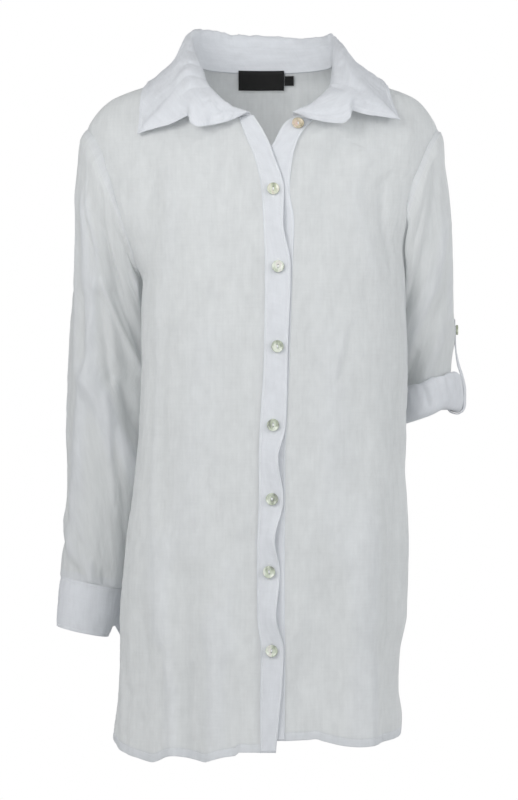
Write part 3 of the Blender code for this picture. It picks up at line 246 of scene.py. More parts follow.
# %% Sleeves, cuff, turned-up end and strap
# The sleeves below the armhole: outer and inner line of each ring, where its middle lies front to back, and
# its half depth. Distances from the middle plane are positive to both sides.
SLEEVE_COLUMNS = ("outer_x", "outer_z", "inner_x", "inner_z", "middle_y", "half_depth")
SLEEVE_RIGHT = (
    (0.216, -0.087, 0.133, -0.26, 0.007, 0.066), (0.219, -0.112, 0.1335, -0.2655, 0.01, 0.067),
    (0.2228, -0.148, 0.134, -0.273, 0.015, 0.067), (0.2229, -0.19, 0.1345, -0.283, 0.02, 0.066),
    (0.2248, -0.235, 0.1345, -0.297, 0.025, 0.064), (0.2258, -0.28, 0.1345, -0.317, 0.03, 0.062),
    (0.229, -0.325, 0.1345, -0.343, 0.033, 0.06), (0.2315, -0.38, 0.136, -0.385, 0.035, 0.058),
    (0.2345, -0.435, 0.139, -0.432, 0.036, 0.055), (0.2348, -0.49, 0.145, -0.485, 0.035, 0.051),
    (0.2375, -0.54, 0.153, -0.538, 0.032, 0.046), (0.2395, -0.575, 0.162, -0.58, 0.03, 0.04),
    (0.2415, -0.598, 0.1705, -0.6145, 0.028, 0.035),
)
CUFF_RIGHT = (
    (0.2415, -0.5984, 0.1705, -0.6149, 0.028, 0.035), (0.245, -0.618, 0.1735, -0.631, 0.027, 0.0345),
    (0.2462, -0.638, 0.1775, -0.648, 0.026, 0.0335), (0.245, -0.6575, 0.185, -0.6705, 0.025, 0.031),
)
SLEEVE_LEFT = (
    (0.2055, -0.088, 0.14, -0.26, 0.008, 0.066), (0.2095, -0.112, 0.141, -0.265, 0.011, 0.067),
    (0.2147, -0.148, 0.142, -0.272, 0.016, 0.0675), (0.219, -0.19, 0.143, -0.282, 0.022, 0.0665),
    (0.2212, -0.235, 0.144, -0.295, 0.028, 0.0645), (0.2225, -0.278, 0.1465, -0.316, 0.033, 0.0625),
    (0.223, -0.318, 0.151, -0.345, 0.037, 0.06), (0.222, -0.3525, 0.1575, -0.3775, 0.042, 0.0562),
    (0.2215, -0.3925, 0.159, -0.4165, 0.042, 0.056),
)
ROLL_BASE = (0.2215, -0.397, 0.159, -0.421, 0.042, 0.056)
# The turned-up end in section: how far out from the sleeve and how far up from the fold.
ROLL_SECTION = (
    (-0.0032, 0.016), (-0.0032, 0.006), (-0.0004, -0.0002), (0.005, -0.0014), (0.01, 0.002), (0.0126, 0.01),
    (0.0126, 0.022), (0.0112, 0.034), (0.008, 0.0395), (0.0046, 0.037), (0.004, 0.026),
)
# The strap's line from its tip, over the roll and up inside the sleeve.
TAB_PATH = (
    (0.2258, -0.296), (0.2258, -0.309), (0.2266, -0.33), (0.23, -0.35), (0.2345, -0.364), (0.2376, -0.38),
    (0.2376, -0.396), (0.235, -0.405), (0.2285, -0.4085), (0.2205, -0.406), (0.2155, -0.395),
    (0.214, -0.37), (0.2145, -0.34),
)
TAB_MIDDLE_Y = 0.042
TAB_WIDTH = 0.024

# %% Collar
# The collar, from its front end round to centre back, on the wearer's right: share of the neck seam, the top
# of the fold, the crest outside it, the middle of the leaf and its outer edge.
COLLAR = (
    (0.0, (0.019, -0.0865, -0.064), (0.0215, -0.089, -0.065), (0.0255, -0.0895, -0.067),
     (0.0292, -0.0895, -0.069)),
    (0.085, (0.034, -0.086, -0.0595), (0.0375, -0.0905, -0.064), (0.041, -0.092, -0.069),
     (0.0445, -0.0915, -0.0755)),
    (0.145, (0.047, -0.081, -0.051), (0.0525, -0.0885, -0.059), (0.0575, -0.093, -0.069),
     (0.062, -0.093, -0.0797)),
    (0.19, (0.0555, -0.0755, -0.043), (0.064, -0.0865, -0.052), (0.0705, -0.0935, -0.065),
     (0.0755, -0.095, -0.082)),
    (0.235, (0.061, -0.0695, -0.0375), (0.074, -0.0845, -0.046), (0.0815, -0.0925, -0.06),
     (0.085, -0.095, -0.0775)),
    (0.285, (0.0655, -0.064, -0.0325), (0.0815, -0.08, -0.04), (0.088, -0.087, -0.053),
     (0.0885, -0.085, -0.0685)),
    (0.34, (0.069, -0.058, -0.0255), (0.085, -0.0735, -0.031), (0.099, -0.0775, -0.051),
     (0.109, -0.08, -0.078)),
    (0.395, (0.0715, -0.05, -0.017), (0.0855, -0.0635, -0.019), (0.111, -0.065, -0.046),
     (0.146, -0.068, -0.088)),
    (0.44, (0.0745, -0.04, -0.008), (0.0865, -0.05, -0.007), (0.112, -0.05, -0.031),
     (0.143, -0.049, -0.061)),
    (0.5, (0.079, -0.026, 0.004), (0.088, -0.032, 0.006), (0.112, -0.03, -0.013),
     (0.1405, -0.025, -0.035)),
    (0.565, (0.083, -0.006, 0.017), (0.09, -0.009, 0.019), (0.111, -0.006, 0.0),
     (0.138, 0.001, -0.02)),
    (0.63, (0.0862, 0.019, 0.033), (0.0905, 0.019, 0.033), (0.106, 0.025, 0.009),
     (0.13, 0.035, -0.014)),
    (0.72, (0.079, 0.048, 0.045), (0.0835, 0.052, 0.045), (0.095, 0.064, 0.017),
     (0.108, 0.076, -0.012)),
    (0.795, (0.059, 0.07, 0.0455), (0.062, 0.0745, 0.0445), (0.07, 0.086, 0.019),
     (0.079, 0.097, -0.012)),
    (0.895, (0.031, 0.084, 0.0425), (0.032, 0.0885, 0.0415), (0.035, 0.099, 0.018),
     (0.038, 0.108, -0.012)),
    (1.0, (0.0, 0.088, 0.0425), (0.0, 0.0925, 0.0415), (0.0, 0.103, 0.019),
     (0.0, 0.111, -0.012)),
)
# On the wearer's left the front of the collar lies further out, and its edge higher.
COLLAR_LEFT_COLUMNS = ("share", "out", "up", "fold_up")
COLLAR_LEFT = (
    (0.0, 0.0125, 0.001, 0.0), (0.145, 0.012, 0.0025, 0.0), (0.235, 0.012, 0.006, 0.0),
    (0.285, 0.012, 0.006, 0.0), (0.34, 0.012, 0.0115, 0.0), (0.395, 0.01, 0.018, 0.0),
    (0.44, 0.007, 0.008, 0.0), (0.5, 0.002, 0.005, 0.0), (0.565, -0.002, 0.002, 0.0),
    (0.63, -0.0045, 0.0, -0.002), (0.72, -0.004, 0.0, -0.005), (0.795, -0.002, 0.0, -0.006),
    (0.895, 0.0, 0.0, -0.002), (1.0, 0.0, 0.0, 0.0),
)
# How much of each rise the lines take: the fold, the crest, the middle and the edge.
COLLAR_LEFT_RISE = (0.0, 0.1, 0.5, 1.0)
COLLAR_LEFT_FOLD_RISE = (1.0, 1.0, 0.4, 0.0)
STAND_SHARE = 0.26
STAND_LEAST_DROP = 0.0055

# %% Large folds, the same as in the solids
# Folds as ridges and troughs: start and end, half width and height, all in metres on the cloth. On the torso
# the first number is the distance round from centre front, the second the height.
FOLD_COLUMNS = ("start_u", "start_v", "end_u", "end_v", "width", "height")
FRONT_RIGHT_FOLDS = (
    (0.115, -0.79, 0.118, -0.56, 0.016, 0.006), (0.078, -0.8, 0.085, -0.6, 0.018, -0.0055),
    (0.048, -0.8, 0.05, -0.64, 0.013, 0.0045), (0.15, -0.8, 0.15, -0.64, 0.016, -0.0045),
    (0.04, -0.085, 0.052, -0.2, 0.018, -0.0045), (0.085, -0.56, 0.07, -0.33, 0.022, 0.0025),
)
FRONT_LEFT_FOLDS = (
    (0.045, -0.79, 0.05, -0.62, 0.02, -0.006), (0.09, -0.79, 0.095, -0.56, 0.02, 0.005),
    (0.14, -0.79, 0.148, -0.4, 0.018, -0.0045), (0.172, -0.56, 0.172, -0.25, 0.014, 0.0035),
    (0.045, -0.09, 0.04, -0.17, 0.016, -0.0045), (0.065, -0.56, 0.045, -0.33, 0.02, 0.0025),
)
BACK_FOLDS = (
    (-0.15, -0.8, -0.12, -0.42, 0.018, 0.006), (-0.09, -0.8, -0.08, -0.5, 0.02, -0.0055),
    (-0.035, -0.8, -0.03, -0.3, 0.018, 0.0065), (0.03, -0.8, 0.02, -0.45, 0.018, -0.006),
    (0.08, -0.8, 0.07, -0.38, 0.02, 0.006), (0.14, -0.8, 0.115, -0.48, 0.018, -0.005),
    (0.1, -0.18, 0.14, -0.3, 0.018, 0.004), (-0.1, -0.19, -0.145, -0.3, 0.018, 0.004),
)
# On a sleeve the first number is the angle round it, 0 outside and 90 in front, the second the distance down.
# The angles are turned into distances with this radius.
FOLD_RADIUS = 0.058
SLEEVE_RIGHT_FOLDS = (
    (55.0, 0.06, 60.0, 0.22, 0.012, 0.005), (60.0, 0.215, 130.0, 0.34, 0.013, 0.007),
    (100.0, 0.09, 118.0, 0.26, 0.014, -0.007), (50.0, 0.22, 28.0, 0.42, 0.011, 0.0055),
    (75.0, 0.33, 78.0, 0.5, 0.013, -0.0055), (100.0, 0.4, 96.0, 0.51, 0.011, 0.0045),
    (40.0, 0.44, 48.0, 0.515, 0.01, -0.0045), (300.0, 0.1, 240.0, 0.24, 0.014, 0.006),
    (310.0, 0.25, 260.0, 0.4, 0.013, -0.006), (285.0, 0.38, 290.0, 0.51, 0.012, 0.005),
    (215.0, 0.12, 225.0, 0.3, 0.013, -0.005),
)
SLEEVE_LEFT_FOLDS = (
    (70.0, 0.03, 120.0, 0.12, 0.015, -0.008), (50.0, 0.08, 115.0, 0.19, 0.012, 0.006),
    (60.0, 0.15, 130.0, 0.24, 0.012, -0.0065), (35.0, 0.13, 95.0, 0.26, 0.011, 0.0045),
    (300.0, 0.06, 235.0, 0.17, 0.014, 0.006), (310.0, 0.15, 250.0, 0.26, 0.012, -0.006),
)


# %% [markdown]
# ## Lines and ovals
# A pattern maker draws a smooth curve through a few measured points. These helpers do the same: a curve
# that never swings past its points, a walk along it in even steps, and the point of the torso's oval at any
# height and any angle from centre front.

# %% Curves through measured points
def named(table, columns):
    values = np.array(table, float)
    return {name: values[:, i] for i, name in enumerate(columns)}


def smooth(knots, values, at):
    knots, values, at = np.asarray(knots, float), np.asarray(values, float), np.asarray(at, float)
    steps = np.diff(knots)
    slopes = np.diff(values) / steps
    tangents = np.zeros(len(knots))
    same = slopes[:-1] * slopes[1:] > 0
    inner = np.zeros(len(slopes) - 1)
    inner[same] = 2 * slopes[:-1][same] * slopes[1:][same] / (slopes[:-1][same] + slopes[1:][same])
    tangents[1:-1] = inner
    tangents[0], tangents[-1] = slopes[0], slopes[-1]
    i = np.clip(np.searchsorted(knots, at, side="right") - 1, 0, len(steps) - 1)
    w = held((at - knots[i]) / steps[i])
    rise = values[i + 1] - values[i]
    ease_out = w * (1 - w) ** 2 * tangents[i] * steps[i]
    ease_in = w * w * (w - 1) * tangents[i + 1] * steps[i]
    return values[i] + w * w * (3 - 2 * w) * rise + ease_out + ease_in


def unit(vectors):
    return vectors / np.maximum(np.linalg.norm(vectors, axis=-1, keepdims=True), 1e-12)


def lengths_along(points):
    steps = np.linalg.norm(np.diff(points, axis=0), axis=1)
    return np.concatenate([[0.0], np.cumsum(steps)])


def smooth_table(knots, table, at):
    """The columns of a table as smooth curves."""
    return np.stack([smooth(knots, column, at) for column in np.asarray(table, float).T], axis=1)


def even_table(knots, table, at):
    """The columns of a table as straight steps."""
    return np.stack([np.interp(at, knots, column) for column in np.asarray(table, float).T], axis=1)


def along_curve(points, shares):
    run = lengths_along(points)
    return even_table(run / run[-1], points, shares)


def held(value):
    """Kept between 0 and 1."""
    return np.clip(value, 0, 1)


def bell(off, width):
    return np.exp(-((off / width) ** 2))


# %% The torso's oval
torso_rows = named(TORSO, TORSO_COLUMNS)


def torso_size(column, z):
    return smooth(torso_rows["z"], torso_rows[column], z)


def size_where(test, column, other_column, z):
    """A size of the torso where the test holds, and the other one elsewhere."""
    return np.where(test, torso_size(column, z), torso_size(other_column, z))


def torso_point(angle, z):
    angle, z = np.broadcast_arrays(np.asarray(angle, float), np.asarray(z, float))
    turn = np.radians(angle)
    across, ahead = np.sin(turn), np.cos(turn)
    half = size_where(across < 0, "half_right", "half_left", z)
    widest = torso_size("widest_y", z)
    in_front = ahead > 0
    power = size_where(in_front, "front_power", "back_power", z)
    depth = size_where(in_front, "front_y", "back_y", z) - widest
    reach = (np.abs(across) ** power + np.abs(ahead) ** power) ** (-1 / power)
    return np.stack([half * across * reach, widest + depth * np.abs(ahead) * reach, z], axis=-1)


def oval_angle(x, z, power_column):
    x, z = np.asarray(x, float), np.asarray(z, float)
    across = held(np.abs(x) / size_where(x < 0, "half_right", "half_left", z))
    power = torso_size(power_column, z)
    return np.degrees(np.arctan2(np.sign(x) * across, (1 - across**power) ** (1 / power)))


def front_angle(x, z):
    return oval_angle(x, z, "front_power")


def back_angle(x, z):
    return -180.0 - oval_angle(x, z, "back_power")


# %% Keeping cloth off the torso's oval
def depth_outside(points):
    x, y, z = np.moveaxis(points, -1, 0)
    half = size_where(x < 0, "half_right", "half_left", z)
    widest = torso_size("widest_y", z)
    in_front = y < widest
    power = size_where(in_front, "front_power", "back_power", z)
    depth = np.abs(size_where(in_front, "front_y", "back_y", z) - widest)
    return (np.abs(x / half) ** power + np.abs((y - widest) / depth) ** power) ** (1 / power) - 1


def keep_clear(points, gap):
    points = points.copy()
    gap = np.broadcast_to(gap, points.shape[:-1])
    step = 0.0005
    for _ in range(4):
        here = depth_outside(points)
        slope = np.stack([(depth_outside(points + step * axis) - here) / step for axis in np.eye(3)], axis=-1)
        steepness = np.maximum(np.linalg.norm(slope, axis=-1), 1e-6)
        short = np.clip(gap - here / steepness, 0, 0.02)
        points += slope / steepness[..., None] * short[..., None]
    return points


# %% Patches between seams
def fill_patch(bottom, top, left, right, u, v):
    """A patch between four lines, at the shares u along and v up."""
    u, v = u[None, :, None], v[:, None, None]
    sides = (1 - u) * left[:, None, :] + u * right[:, None, :]
    ends = (1 - v) * bottom[None, :, :] + v * top[None, :, :]
    corners = (
        (1 - u) * (1 - v) * bottom[0] + u * (1 - v) * bottom[-1] + (1 - u) * v * top[0] + u * v * top[-1]
    )
    return sides + ends - corners


def normals_of(grid, around=False):
    if around:
        across = np.roll(grid, -1, axis=1) - np.roll(grid, 1, axis=1)
    else:
        across = np.gradient(grid, axis=1)
    return unit(np.cross(across, np.gradient(grid, axis=0)))


def round_distances(grid):
    steps = np.linalg.norm(np.diff(grid, axis=1), axis=2)
    return np.concatenate([np.zeros((len(grid), 1)), np.cumsum(steps, axis=1)], axis=1)


# %% [markdown]
# ## Creases
# Worn linen keeps soft troughs and ridges where it hangs from the shoulders, bends at the elbow and flares
# at the hem, and a fine crumple all over. A simulation would give other folds each time its settings moved.
# The main creases are therefore listed one by one, each with its own length, width and depth, and the crumple
# is a seeded noise, longer down the cloth than across it.

# %% Soft ridges and crumple
def ridge(u, v, start_u, start_v, end_u, end_v, width, height):
    along_u, along_v = end_u - start_u, end_v - start_v
    length = math.hypot(along_u, along_v)
    run = ((u - start_u) * along_u + (v - start_v) * along_v) / length
    off = ((u - start_u) * along_v - (v - start_v) * along_u) / length
    beyond = np.maximum(np.maximum(-run, run - length), 0)
    return height * np.exp(-((off / width) ** 2) - (beyond / (1.5 * width)) ** 2)


def fold_heights(folds, u, v):
    total = np.zeros(np.broadcast(u, v).shape)
    for fold in folds:
        total += ridge(u, v, **dict(zip(FOLD_COLUMNS, fold)))
    return total


def crumple(u, v, cell_u, cell_v, seed):
    """Smooth noise of about -1 to 1 on the cloth, with cells of this size."""
    u, v = np.broadcast_arrays(u, v)
    a, b = (u - u.min()) / cell_u, (v - v.min()) / cell_v
    lattice = np.random.RandomState(seed).uniform(-1, 1, (int(a.max()) + 3, int(b.max()) + 3))
    i, j = a.astype(int), b.astype(int)
    s, t = a - i, b - j
    s, t = s * s * (3 - 2 * s), t * t * (3 - 2 * t)
    low = lattice[i, j] * (1 - s) + lattice[i + 1, j] * s
    high = lattice[i, j + 1] * (1 - s) + lattice[i + 1, j + 1] * s
    return low * (1 - t) + high * t


def pinches(u, v, cell_u, cell_v, seed):
    """Narrow ridges that wander over the cloth, 0 to 1."""
    return held(1 - 3.2 * np.abs(crumple(u, v, cell_u, cell_v, seed))) ** 1.6


# How far the cells of the crumple reach round and up, and its height.
CRUMPLES = (
    (0.06, 0.19, 0.0012), (0.022, 0.07, 0.0007), (0.009, 0.026, 0.0003), (0.0055, 0.011, 0.00012),
)


def crumples(u, v, seed, share=1.0):
    total = np.zeros(np.broadcast(u, v).shape)
    for i, (cell_u, cell_v, height) in enumerate(CRUMPLES):
        lean = 0.18 * math.sin(seed + 2.1 * i)
        total += share * height * crumple(u + lean * v, v, cell_u, cell_v, 10 * seed + i)
    total += share * 0.00028 * pinches(u + 0.1 * v, v, 0.016, 0.045, 10 * seed + 7)
    total -= share * 0.00025 * pinches(u - 0.2 * v, v, 0.024, 0.03, 10 * seed + 8)
    return total


# %% [markdown]
# ## From a grid to a sheet of cloth
# Each piece is a grid of points with its rows along the weft and its columns along the warp. The sheet gets
# a map in real metres, so that threads have one size on every piece, and a mark for where the cloth lies
# double, because two layers of this sheer linen look whiter than one. On panels and sleeves the same mark
# also carries a painted highlight on the ridges of the creases.

# %% Sewing a grid into a mesh
pieces = {}
stitch_lines = {}


def link_mesh(name, points, faces):
    mesh = bpy.data.meshes.new(name)
    mesh.from_pydata(points.reshape(-1, 3).tolist(), [], faces)
    mesh.shade_smooth()
    made = bpy.data.objects.new(name, mesh)
    bpy.context.scene.collection.objects.link(made)
    pieces[name] = made
    return made


def sew(name, grid, outward, double=0.0, around=False, wall=0.0, grain=None):
    """A sheet from a grid, its faces turned outward. A wall above 0 makes it two layers."""
    rows, columns = grid.shape[:2]
    closed = np.concatenate([grid, grid[:, :1]], axis=1) if around else grid
    u, v = grain or (round_distances(closed), round_distances(closed.swapaxes(0, 1)).T)
    i, j = np.meshgrid(np.arange(rows - 1), np.arange(closed.shape[1] - 1), indexing="ij")
    i, j = i.ravel(), j.ravel()
    corner_rows = np.stack([i, i, i + 1, i + 1], axis=1)
    corner_columns = np.stack([j, j + 1, j + 1, j], axis=1)
    if np.sum(normals_of(grid, around) * outward) < 0:
        corner_rows, corner_columns = corner_rows[:, ::-1], corner_columns[:, ::-1]
    made = link_mesh(name, grid, (corner_rows * columns + corner_columns % columns).tolist())
    cloth_map = made.data.uv_layers.new(name="cloth")
    places = np.stack([u[corner_rows, corner_columns], v[corner_rows, corner_columns]], axis=-1)
    cloth_map.data.foreach_set("uv", places.reshape(-1).astype(np.float32))
    mark = made.data.attributes.new("double", "FLOAT", "POINT")
    mark.data.foreach_set("value", np.broadcast_to(double, (rows, columns)).ravel().astype(np.float32))
    if wall:
        thicken = made.modifiers.new("two layers", "SOLIDIFY")
        thicken.thickness = wall
        thicken.offset = 0.0
        thicken.use_even_offset = False
    return made


def tell(made, *more):
    print(made.name, "area", round(sum(face.area for face in made.data.polygons), 4), *more)


def select_only(*objects):
    """Selects these, the last one active."""
    bpy.ops.object.select_all(action="DESELECT")
    for each in objects:
        each.select_set(True)
        bpy.context.view_layer.objects.active = each


# %% Straight grain
UP_LINE_X = 0.06


def straight_grain(angles, z, start, extra_rows):
    """Distances on a panel whose warp hangs straight down: round from its middle line, and up."""
    shares = np.linspace(0, 1, 14)
    swept = start + (angles - start)[..., None] * shares
    points = torso_point(swept, z[..., None] * np.ones(14))
    u = np.linalg.norm(np.diff(points, axis=-2), axis=-1).sum(axis=-1) * np.sign(angles - start)
    levels = np.linspace(-0.82, 0.0, 300)
    angle_at = front_angle if start == 0 else back_angle
    line = torso_point(angle_at(np.full(300, UP_LINE_X), levels), levels)
    v = np.interp(z, levels, lengths_along(line[:, 1:]))
    below = -0.001 * np.arange(extra_rows, 0, -1)[:, None]
    return np.concatenate([u[:1].repeat(extra_rows, axis=0), u]), np.concatenate([v[:1] + below, v])


# %% Turned hems
HEM_DEPTH = 0.0095
HEM_STITCH = 0.008
HEM_THICKNESS = 0.0008
# How white a hem is between single cloth, 0, and double, 1.
HEM_DOUBLE = 0.6
# How far stitches lie above the middle of single cloth.
CLOTH_LIFT = 0.0001


def turned_in(grid, outward, depths):
    """Rows that fold up inside the hem. depths are the cloth distances of the first rows from the edge."""
    kept = [k for k, depth in enumerate(depths) if 0.0004 < depth <= HEM_DEPTH]
    inside = [grid[k] - outward[k] * HEM_THICKNESS for k in reversed(kept)]
    edge = grid[0] - outward[0] * HEM_THICKNESS * 0.5 - unit(grid[3] - grid[0]) * 0.0004
    return np.concatenate([np.array(inside), edge[None]]), len(inside) + 1


def note_stitches(name, points, outward, lift):
    """Remembers a row of stitches on the cloth, to be sewn once all the pieces are there."""
    stitch_lines.setdefault(name, []).append((points + outward * lift, outward))


def stitch_line(name, grid, outward, places, at, lift, around=False):
    """Remembers the row of the grid whose place is nearest to this one as a row of stitches."""
    k = int(np.argmin(np.abs(places - at)))
    row = [np.append(each[k], each[k, :1], axis=0) if around else each[k] for each in (grid, outward)]
    note_stitches(name, *row, lift)


# %% [markdown]
# ## Seams shared by the panels
# Front, back and sleeve meet along the same lines. Each line is worked out once from the sizes, as steps up
# from the hem, and both neighbours take it, so no light shows between them.

# %% Armholes, sides and necklines
def even_on_torso(pairs, shares):
    """Angles and heights at these shares of the length of a line on the torso."""
    run = lengths_along(torso_point(pairs[:, 0], pairs[:, 1]))
    return even_table(run / run[-1], pairs, shares)


def armhole(table, side, shares, behind):
    rows = named(table[::-1], ARMHOLE_COLUMNS)
    pairs = np.stack([side * rows["back_angle" if behind else "front_angle"], rows["z"]], axis=1)
    return even_on_torso(smooth_table(np.linspace(0, 1, len(pairs)), pairs, np.linspace(0, 1, 400)), shares)


def side_edge(table, side, behind, steps):
    z = HEM_END_Z + (UNDERARM_Z - HEM_END_Z) * held(steps / ROWS_BELOW)
    opened = held((SLIT_TOP_Z - z) / 0.1) ** 2
    spread = SLIT_BACK_SPREAD if behind else -SLIT_FRONT_SPREAD
    seam = np.stack([side * (SIDE_SEAM_ANGLE + spread * opened), z], axis=1)
    hole = armhole(table, side, held((steps - ROWS_BELOW) / ROWS_ABOVE), behind)
    return np.where((steps > ROWS_BELOW)[:, None], hole, seam)


def placket_size(part, side, z):
    rows = named(PLACKETS, PLACKET_COLUMNS)
    return smooth(rows["z"], rows[("left_" if side > 0 else "right_") + part], z)


def neckline(side, shares):
    rows = named(NECKLINE, NECKLINE_COLUMNS)
    z = np.linspace(rows["z"][0], 0.0, 200)
    x = side * smooth(rows["z"], rows["left_x" if side > 0 else "right_x"], z)
    angles = front_angle(x, z)
    angles[-1] = side * 90.0
    return even_on_torso(np.stack([angles, z], axis=1), shares)


def opening_levels(hem_z):
    """Heights from the hem up the plackets to the open neck."""
    return np.concatenate([np.linspace(hem_z, UNDERARM_Z, ROWS_BELOW + 1), OPENING_LEVELS[1:]])


def placket_edge(side, hem_z, steps):
    levels = opening_levels(hem_z)
    last = len(levels) - 1
    z = np.interp(steps, np.arange(len(levels)), levels)
    seam = np.stack([front_angle(placket_size("seam", side, z), z), z], axis=1)
    neck = neckline(side, held((steps - last) / (ROWS_BELOW + ROWS_ABOVE - last)))
    return np.where((steps > last)[:, None], neck, seam)


def shoulder_seam(side, shares):
    z = np.linspace(0.0, SHOULDER_Z, 200)
    return even_on_torso(np.stack([np.full(200, side * 90.0), z], axis=1), shares)


def back_neckline(shares):
    angles = -90.0 - 180.0 * shares
    return np.stack([angles, -0.0022 * np.sin(np.radians(-angles - 90.0))], axis=1)


# %% Rows of the panels: close together at the hem, even above it
STEP_LENGTH = 0.0442
HEM_ROWS = (
    0.0, 0.0006, 0.0016, 0.0034, 0.0058, 0.0074, HEM_STITCH, 0.0086, HEM_DEPTH, 0.0106, 0.0125, 0.0155,
)


def panel_steps(spacing=0.0032):
    above = np.linspace(0.0185 / STEP_LENGTH, ROWS_BELOW + ROWS_ABOVE,
                        int((ROWS_BELOW + 9.0) * STEP_LENGTH / spacing))
    return np.concatenate([np.array(HEM_ROWS) / STEP_LENGTH, above])


def hem_shape(steps):
    """The pucker along the hem's stitches."""
    depth = steps * STEP_LENGTH
    return -0.00055 * bell(depth - HEM_STITCH, 0.0012)


def hem_double(steps):
    return HEM_DOUBLE * held((HEM_DEPTH - steps * STEP_LENGTH) / 0.0012 + 0.5)


# %% [markdown]
# ## The two fronts
# Each front hangs from its shoulder seam, runs along its placket and ends at the side seam. Its creases are
# listed as lines on the cloth: how far round from the placket, and how high, at both ends.

# %% Creases of the fronts
FRONT_RIGHT_CREASES = (
    (0.112, -0.691, 0.093, -0.736, 0.0047, 0.002), (0.121, -0.68, 0.119, -0.8, 0.0094, -0.0055),
    (0.012, -0.556, 0.018, -0.66, 0.0105, -0.003), (0.033, -0.583, 0.035, -0.684, 0.0094, 0.0025),
    (0.103, -0.72, 0.101, -0.8, 0.007, 0.0036), (0.08, -0.7, 0.08, -0.8, 0.007, -0.004),
    (0.058, -0.65, 0.061, -0.8, 0.009, 0.0042), (0.035, -0.69, 0.034, -0.8, 0.007, -0.0034),
    (0.098, -0.09, 0.148, -0.215, 0.011, -0.0034), (0.104, -0.13, 0.118, -0.237, 0.012, 0.002),
    (0.01, -0.084, 0.026, -0.128, 0.0094, -0.003), (0.059, -0.425, 0.047, -0.47, 0.0047, 0.001),
    (0.133, -0.279, 0.131, -0.528, 0.0059, 0.0018), (0.122, -0.314, 0.117, -0.573, 0.0059, -0.0015),
    (0.008, -0.392, 0.006, -0.55, 0.0059, -0.0015), (0.176, -0.724, 0.178, -0.787, 0.0082, -0.003),
    (0.067, -0.109, 0.079, -0.179, 0.0105, -0.001), (0.155, -0.61, 0.15, -0.74, 0.008, 0.0018),
    (0.186, -0.56, 0.182, -0.7, 0.01, -0.0022),
)
FRONT_LEFT_CREASES = (
    (0.052, -0.364, 0.064, -0.309, 0.0035, 0.0014), (0.061, -0.368, 0.07, -0.315, 0.0047, -0.0012),
    (0.028, -0.291, 0.032, -0.26, 0.0035, 0.001), (0.015, -0.377, 0.011, -0.4, 0.0035, 0.001),
    (0.017, -0.647, 0.006, -0.661, 0.0035, 0.0015), (0.036, -0.571, 0.028, -0.706, 0.012, -0.0038),
    (0.092, -0.522, 0.088, -0.605, 0.0164, 0.0022), (0.123, -0.505, 0.134, -0.665, 0.0059, -0.0022),
    (0.016, -0.69, 0.017, -0.8, 0.013, -0.0055), (0.105, -0.7, 0.105, -0.8, 0.012, 0.004),
    (0.004, -0.084, 0.012, -0.133, 0.0094, -0.003), (0.04, -0.083, 0.066, -0.127, 0.0117, -0.0025),
    (0.068, -0.108, 0.093, -0.234, 0.0117, 0.002), (0.112, -0.142, 0.126, -0.235, 0.0082, -0.0024),
    (0.049, -0.392, 0.047, -0.527, 0.0117, 0.001), (0.15, -0.56, 0.155, -0.7, 0.009, 0.002),
    (0.178, -0.48, 0.176, -0.64, 0.01, -0.0022),
)


# %% The front hems in finer steps
SEEN_COLUMNS = ("angle", "z")
HEM_RIGHT_SEEN = (
    (3.5, -0.7855), (-9.5, -0.7855), (-10.4, -0.789), (-15.0, -0.791), (-19.1, -0.7946), (-22.0, -0.7971),
    (-25.3, -0.7957), (-29.6, -0.7923), (-33.2, -0.7911), (-36.9, -0.7934), (-39.8, -0.7973),
    (-43.0, -0.8001), (-47.6, -0.7989), (-52.9, -0.7967), (-58.0, -0.7946), (-64.7, -0.7918),
    (-71.6, -0.7868), (-80.0, -0.7816), (-94.0, -0.765), (-107.0, -0.742),
)
HEM_LEFT_SEEN = (
    (6.0, -0.773), (18.0, -0.7723), (20.5, -0.7715), (24.2, -0.7744), (33.4, -0.7805), (40.1, -0.7822),
    (46.7, -0.7818), (54.7, -0.7813), (63.6, -0.7801), (72.0, -0.7783), (84.0, -0.775), (95.0, -0.763),
    (107.0, -0.742),
)


def hem_line(side, first_angle, last_angle, shares):
    """Height of the hem at shares of its length."""
    seen = named(HEM_LEFT_SEEN if side > 0 else HEM_RIGHT_SEEN, SEEN_COLUMNS)
    return smooth((seen["angle"] - first_angle) / (last_angle - first_angle), seen["z"], shares)


# %% Cutting and hanging a panel
# Ridge tops get a painted highlight, almost as white as two layers of cloth, full at this height of the
# ridge.
RIDGE_PAINTED_HIGHLIGHT = 0.55
HIGHLIGHT_FULL_HEIGHT = 0.0042
PANEL_CRUMPLE = 1.3
GROOVE_DEPTH, GROOVE_WIDTH = 0.0005, 0.0015
# How far from the side seam the creases and the crumple begin to fade.
CREASE_MARGIN, CRUMPLE_MARGIN = 0.03, 0.012


def from_top(steps, reach):
    """0 at the shoulder seam and 1 below this share of the rows above the underarm."""
    return held((steps[-1] - steps) / (ROWS_ABOVE * reach))[:, None]


